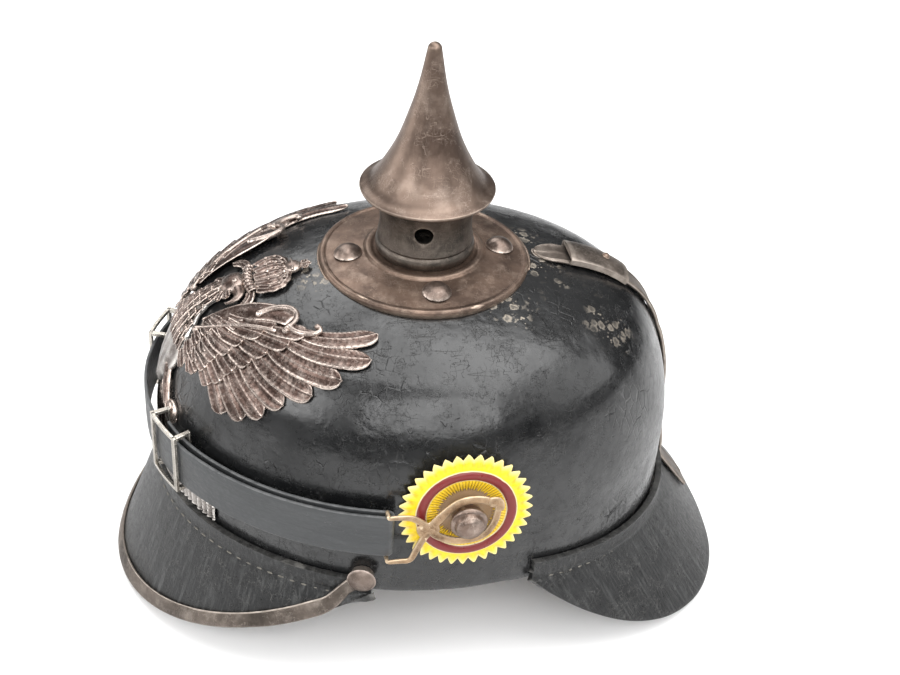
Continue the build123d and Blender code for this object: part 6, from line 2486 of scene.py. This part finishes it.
@dataclass
class Studio:
    """Pale floor, soft lamps, a quiet world and the camera."""

    floor_size: float = 9.0
    floor_colour: Colour = (0.93, 0.93, 0.93)
    world_strength: float = 0.55
    target: Point = (0.0, 0.010175, 0.0988)
    distance: float = 0.6
    azimuth: float = math.radians(77.8)
    elevation: float = math.radians(35.4)
    roll: float = math.radians(3.9)
    lens: float = 59.0
    sensor: float = 36.0
    nearest: float = 0.01
    floor_mirror: float = 0.28
    glow_from: Pair = (0.4, 1.1)
    lamps: Tuple[Tuple[str, Point, Point, Pair, float], ...] = (
        ("top_light", (0.1, 0.32, 1.5), (0.0, 0.1, 0.05), (1.3, 1.6), 23.0),
        ("window_light", (1.45, 0.1, 1.2), (0.0, 0.0, 0.08), (1.6, 1.05), 21.0),
        ("front_light", (-0.45, -1.4, 0.4), (0.0, 0.0, 0.06), (0.9, 0.6), 6.5),
        ("back_light", (-1.15, -0.35, 1.25), (0.0, 0.0, 0.1), (0.9, 1.0), 8.0),
        ("key_light", (0.7, -1.25, 0.95), (0.0, 0.0, 0.08), (0.9, 0.9), 11.0),
        ("fill_light", (0.55, 1.35, 0.9), (0.0, 0.0, 0.08), (1.2, 1.1), 7.0),
    )

    def build(self) -> None:
        """Make everything that isn't the helmet."""
        self.floor()
        self.world()
        for lamp in self.lamps:
            self.lamp(*lamp)
        self.camera()

    def floor(self) -> None:
        """Make the floor."""
        material, w, shader = fresh_material("floor_white", 0.0)
        shade = w.mix(w.noise(w.place(), 2.0, 2.0), self.floor_colour, tuple(v * 0.99 for v in self.floor_colour))
        mirror = w.times(w.add("ShaderNodeLightPath").outputs["Is Glossy Ray"], self.floor_mirror)
        shade = w.mix(mirror, shade, (0.0, 0.0, 0.0))
        w.feed(shader.inputs["Base Color"], shade)
        shader.inputs["Roughness"].default_value = 0.9
        shader.inputs["Specular IOR Level"].default_value = 0.1
        away = w.add("ShaderNodeVectorMath", {0: w.place()}, operation="LENGTH").outputs["Value"]
        seen = w.add("ShaderNodeLightPath").outputs["Is Camera Ray"]
        glow = w.times(w.between(away, *self.glow_from), seen)
        shader.inputs["Emission Color"].default_value = (*WHITE, 1.0)
        w.feed(shader.inputs["Emission Strength"], glow)
        bm = bmesh.new()
        bmesh.ops.create_grid(bm, x_segments=1, y_segments=1, size=self.floor_size / 2)
        mesh_object("floor", bm, material)

    def world(self) -> None:
        """White to the camera, dimmer towards the horizon for reflections, quiet for the rest."""
        world = bpy.data.worlds.new("studio")
        bpy.context.scene.world = world
        world.use_nodes = True
        world.node_tree.nodes.clear()
        w = Weaver(world.node_tree)
        height = w.add("ShaderNodeSeparateXYZ", {0: w.add("ShaderNodeTexCoord").outputs["Generated"]}).outputs["Z"]
        sky = w.between(height, 0.1, 0.8, 0.015, 0.5)
        path = w.add("ShaderNodeLightPath").outputs
        grey = w.add("ShaderNodeCombineXYZ", {0: sky, 1: sky, 2: sky}).outputs[0]
        soft = w.mix(path["Is Glossy Ray"], (self.world_strength,) * 3, grey)
        seen = w.math("MAXIMUM", path["Is Camera Ray"], path["Is Transmission Ray"])
        colour = w.mix(seen, soft, WHITE)
        back = w.add("ShaderNodeBackground", {"Color": colour, "Strength": 1.0})
        w.add("ShaderNodeOutputWorld", {"Surface": back.outputs[0]})

    @staticmethod
    def lamp(name: str, place: Point, target: Point, size: Pair, power: float) -> None:
        """Add a soft rectangular lamp.

        Args:
            name: Its name.
            place: Where it hangs.
            target: What it looks at.
            size: Its width and height.
            power: Its power in watts.
        """
        data = bpy.data.lights.new(name, "AREA")
        data.shape = "RECTANGLE"
        data.size, data.size_y = size
        data.energy = power
        obj = scene_object(name, data)
        obj.location = place
        obj.rotation_euler = (Vector(target) - Vector(place)).to_track_quat("-Z", "Y").to_euler()

    def camera(self) -> None:
        """Set the camera as the photographer stood."""
        turn, rise = self.azimuth, self.elevation
        back = Vector((math.sin(turn) * math.cos(rise), -math.cos(turn) * math.cos(rise), math.sin(rise)))
        right = Vector((math.cos(turn), math.sin(turn), 0))
        up = back.cross(right)
        level = math.cos(self.roll) * right + math.sin(self.roll) * up
        upright = math.cos(self.roll) * up - math.sin(self.roll) * right
        frame = Matrix((level, upright, back)).transposed()
        data = bpy.data.cameras.new("camera")
        data.lens = self.lens
        data.sensor_width = self.sensor
        data.clip_start = self.nearest
        obj = scene_object("camera", data)
        obj.matrix_world = Matrix.Translation(Vector(self.target) + back * self.distance) @ frame.to_4x4()
        bpy.context.scene.camera = obj
        bpy.context.scene.view_settings.view_transform = "Standard"


def main() -> None:
    """Load the frame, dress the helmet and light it."""
    logging.basicConfig(level=logging.INFO, format="%(message)s")
    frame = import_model()
    finishes = make_finishes()
    Shell().build(finishes)
    front = Visor(
        "front_visor", -1, end_y=29.0, flange_end=51.0, flange_middle=55.0, rim_half_width=88.0, rim_reach=125.6,
        rim_end=46.0, fullness=1.94, fall=1.13, lift=0.9,
    )
    rear = Visor(
        "rear_visor", 1, end_y=32.0, flange_end=53.3, flange_middle=41.0, rim_half_width=87.6, rim_reach=131.5,
        rim_end=44.0, fullness=2.6, fall=2.2, lift=1.53,
    )
    front.build(finishes)
    rear.build(finishes)
    VisorTrim(front).build(finishes)
    FrontPlate().build(finishes)
    RearSpine(rear).build(finishes)
    for part in (BasePlate(), TrimStuds(), SpikeCone(), Cockade(), SidePost(), StrapHook(), ChinStrap(), Buckle()):
        part.build(finishes)
    Hardware(frame).build(finishes)
    Studio().build()


if __name__ == "__main__":
    main()
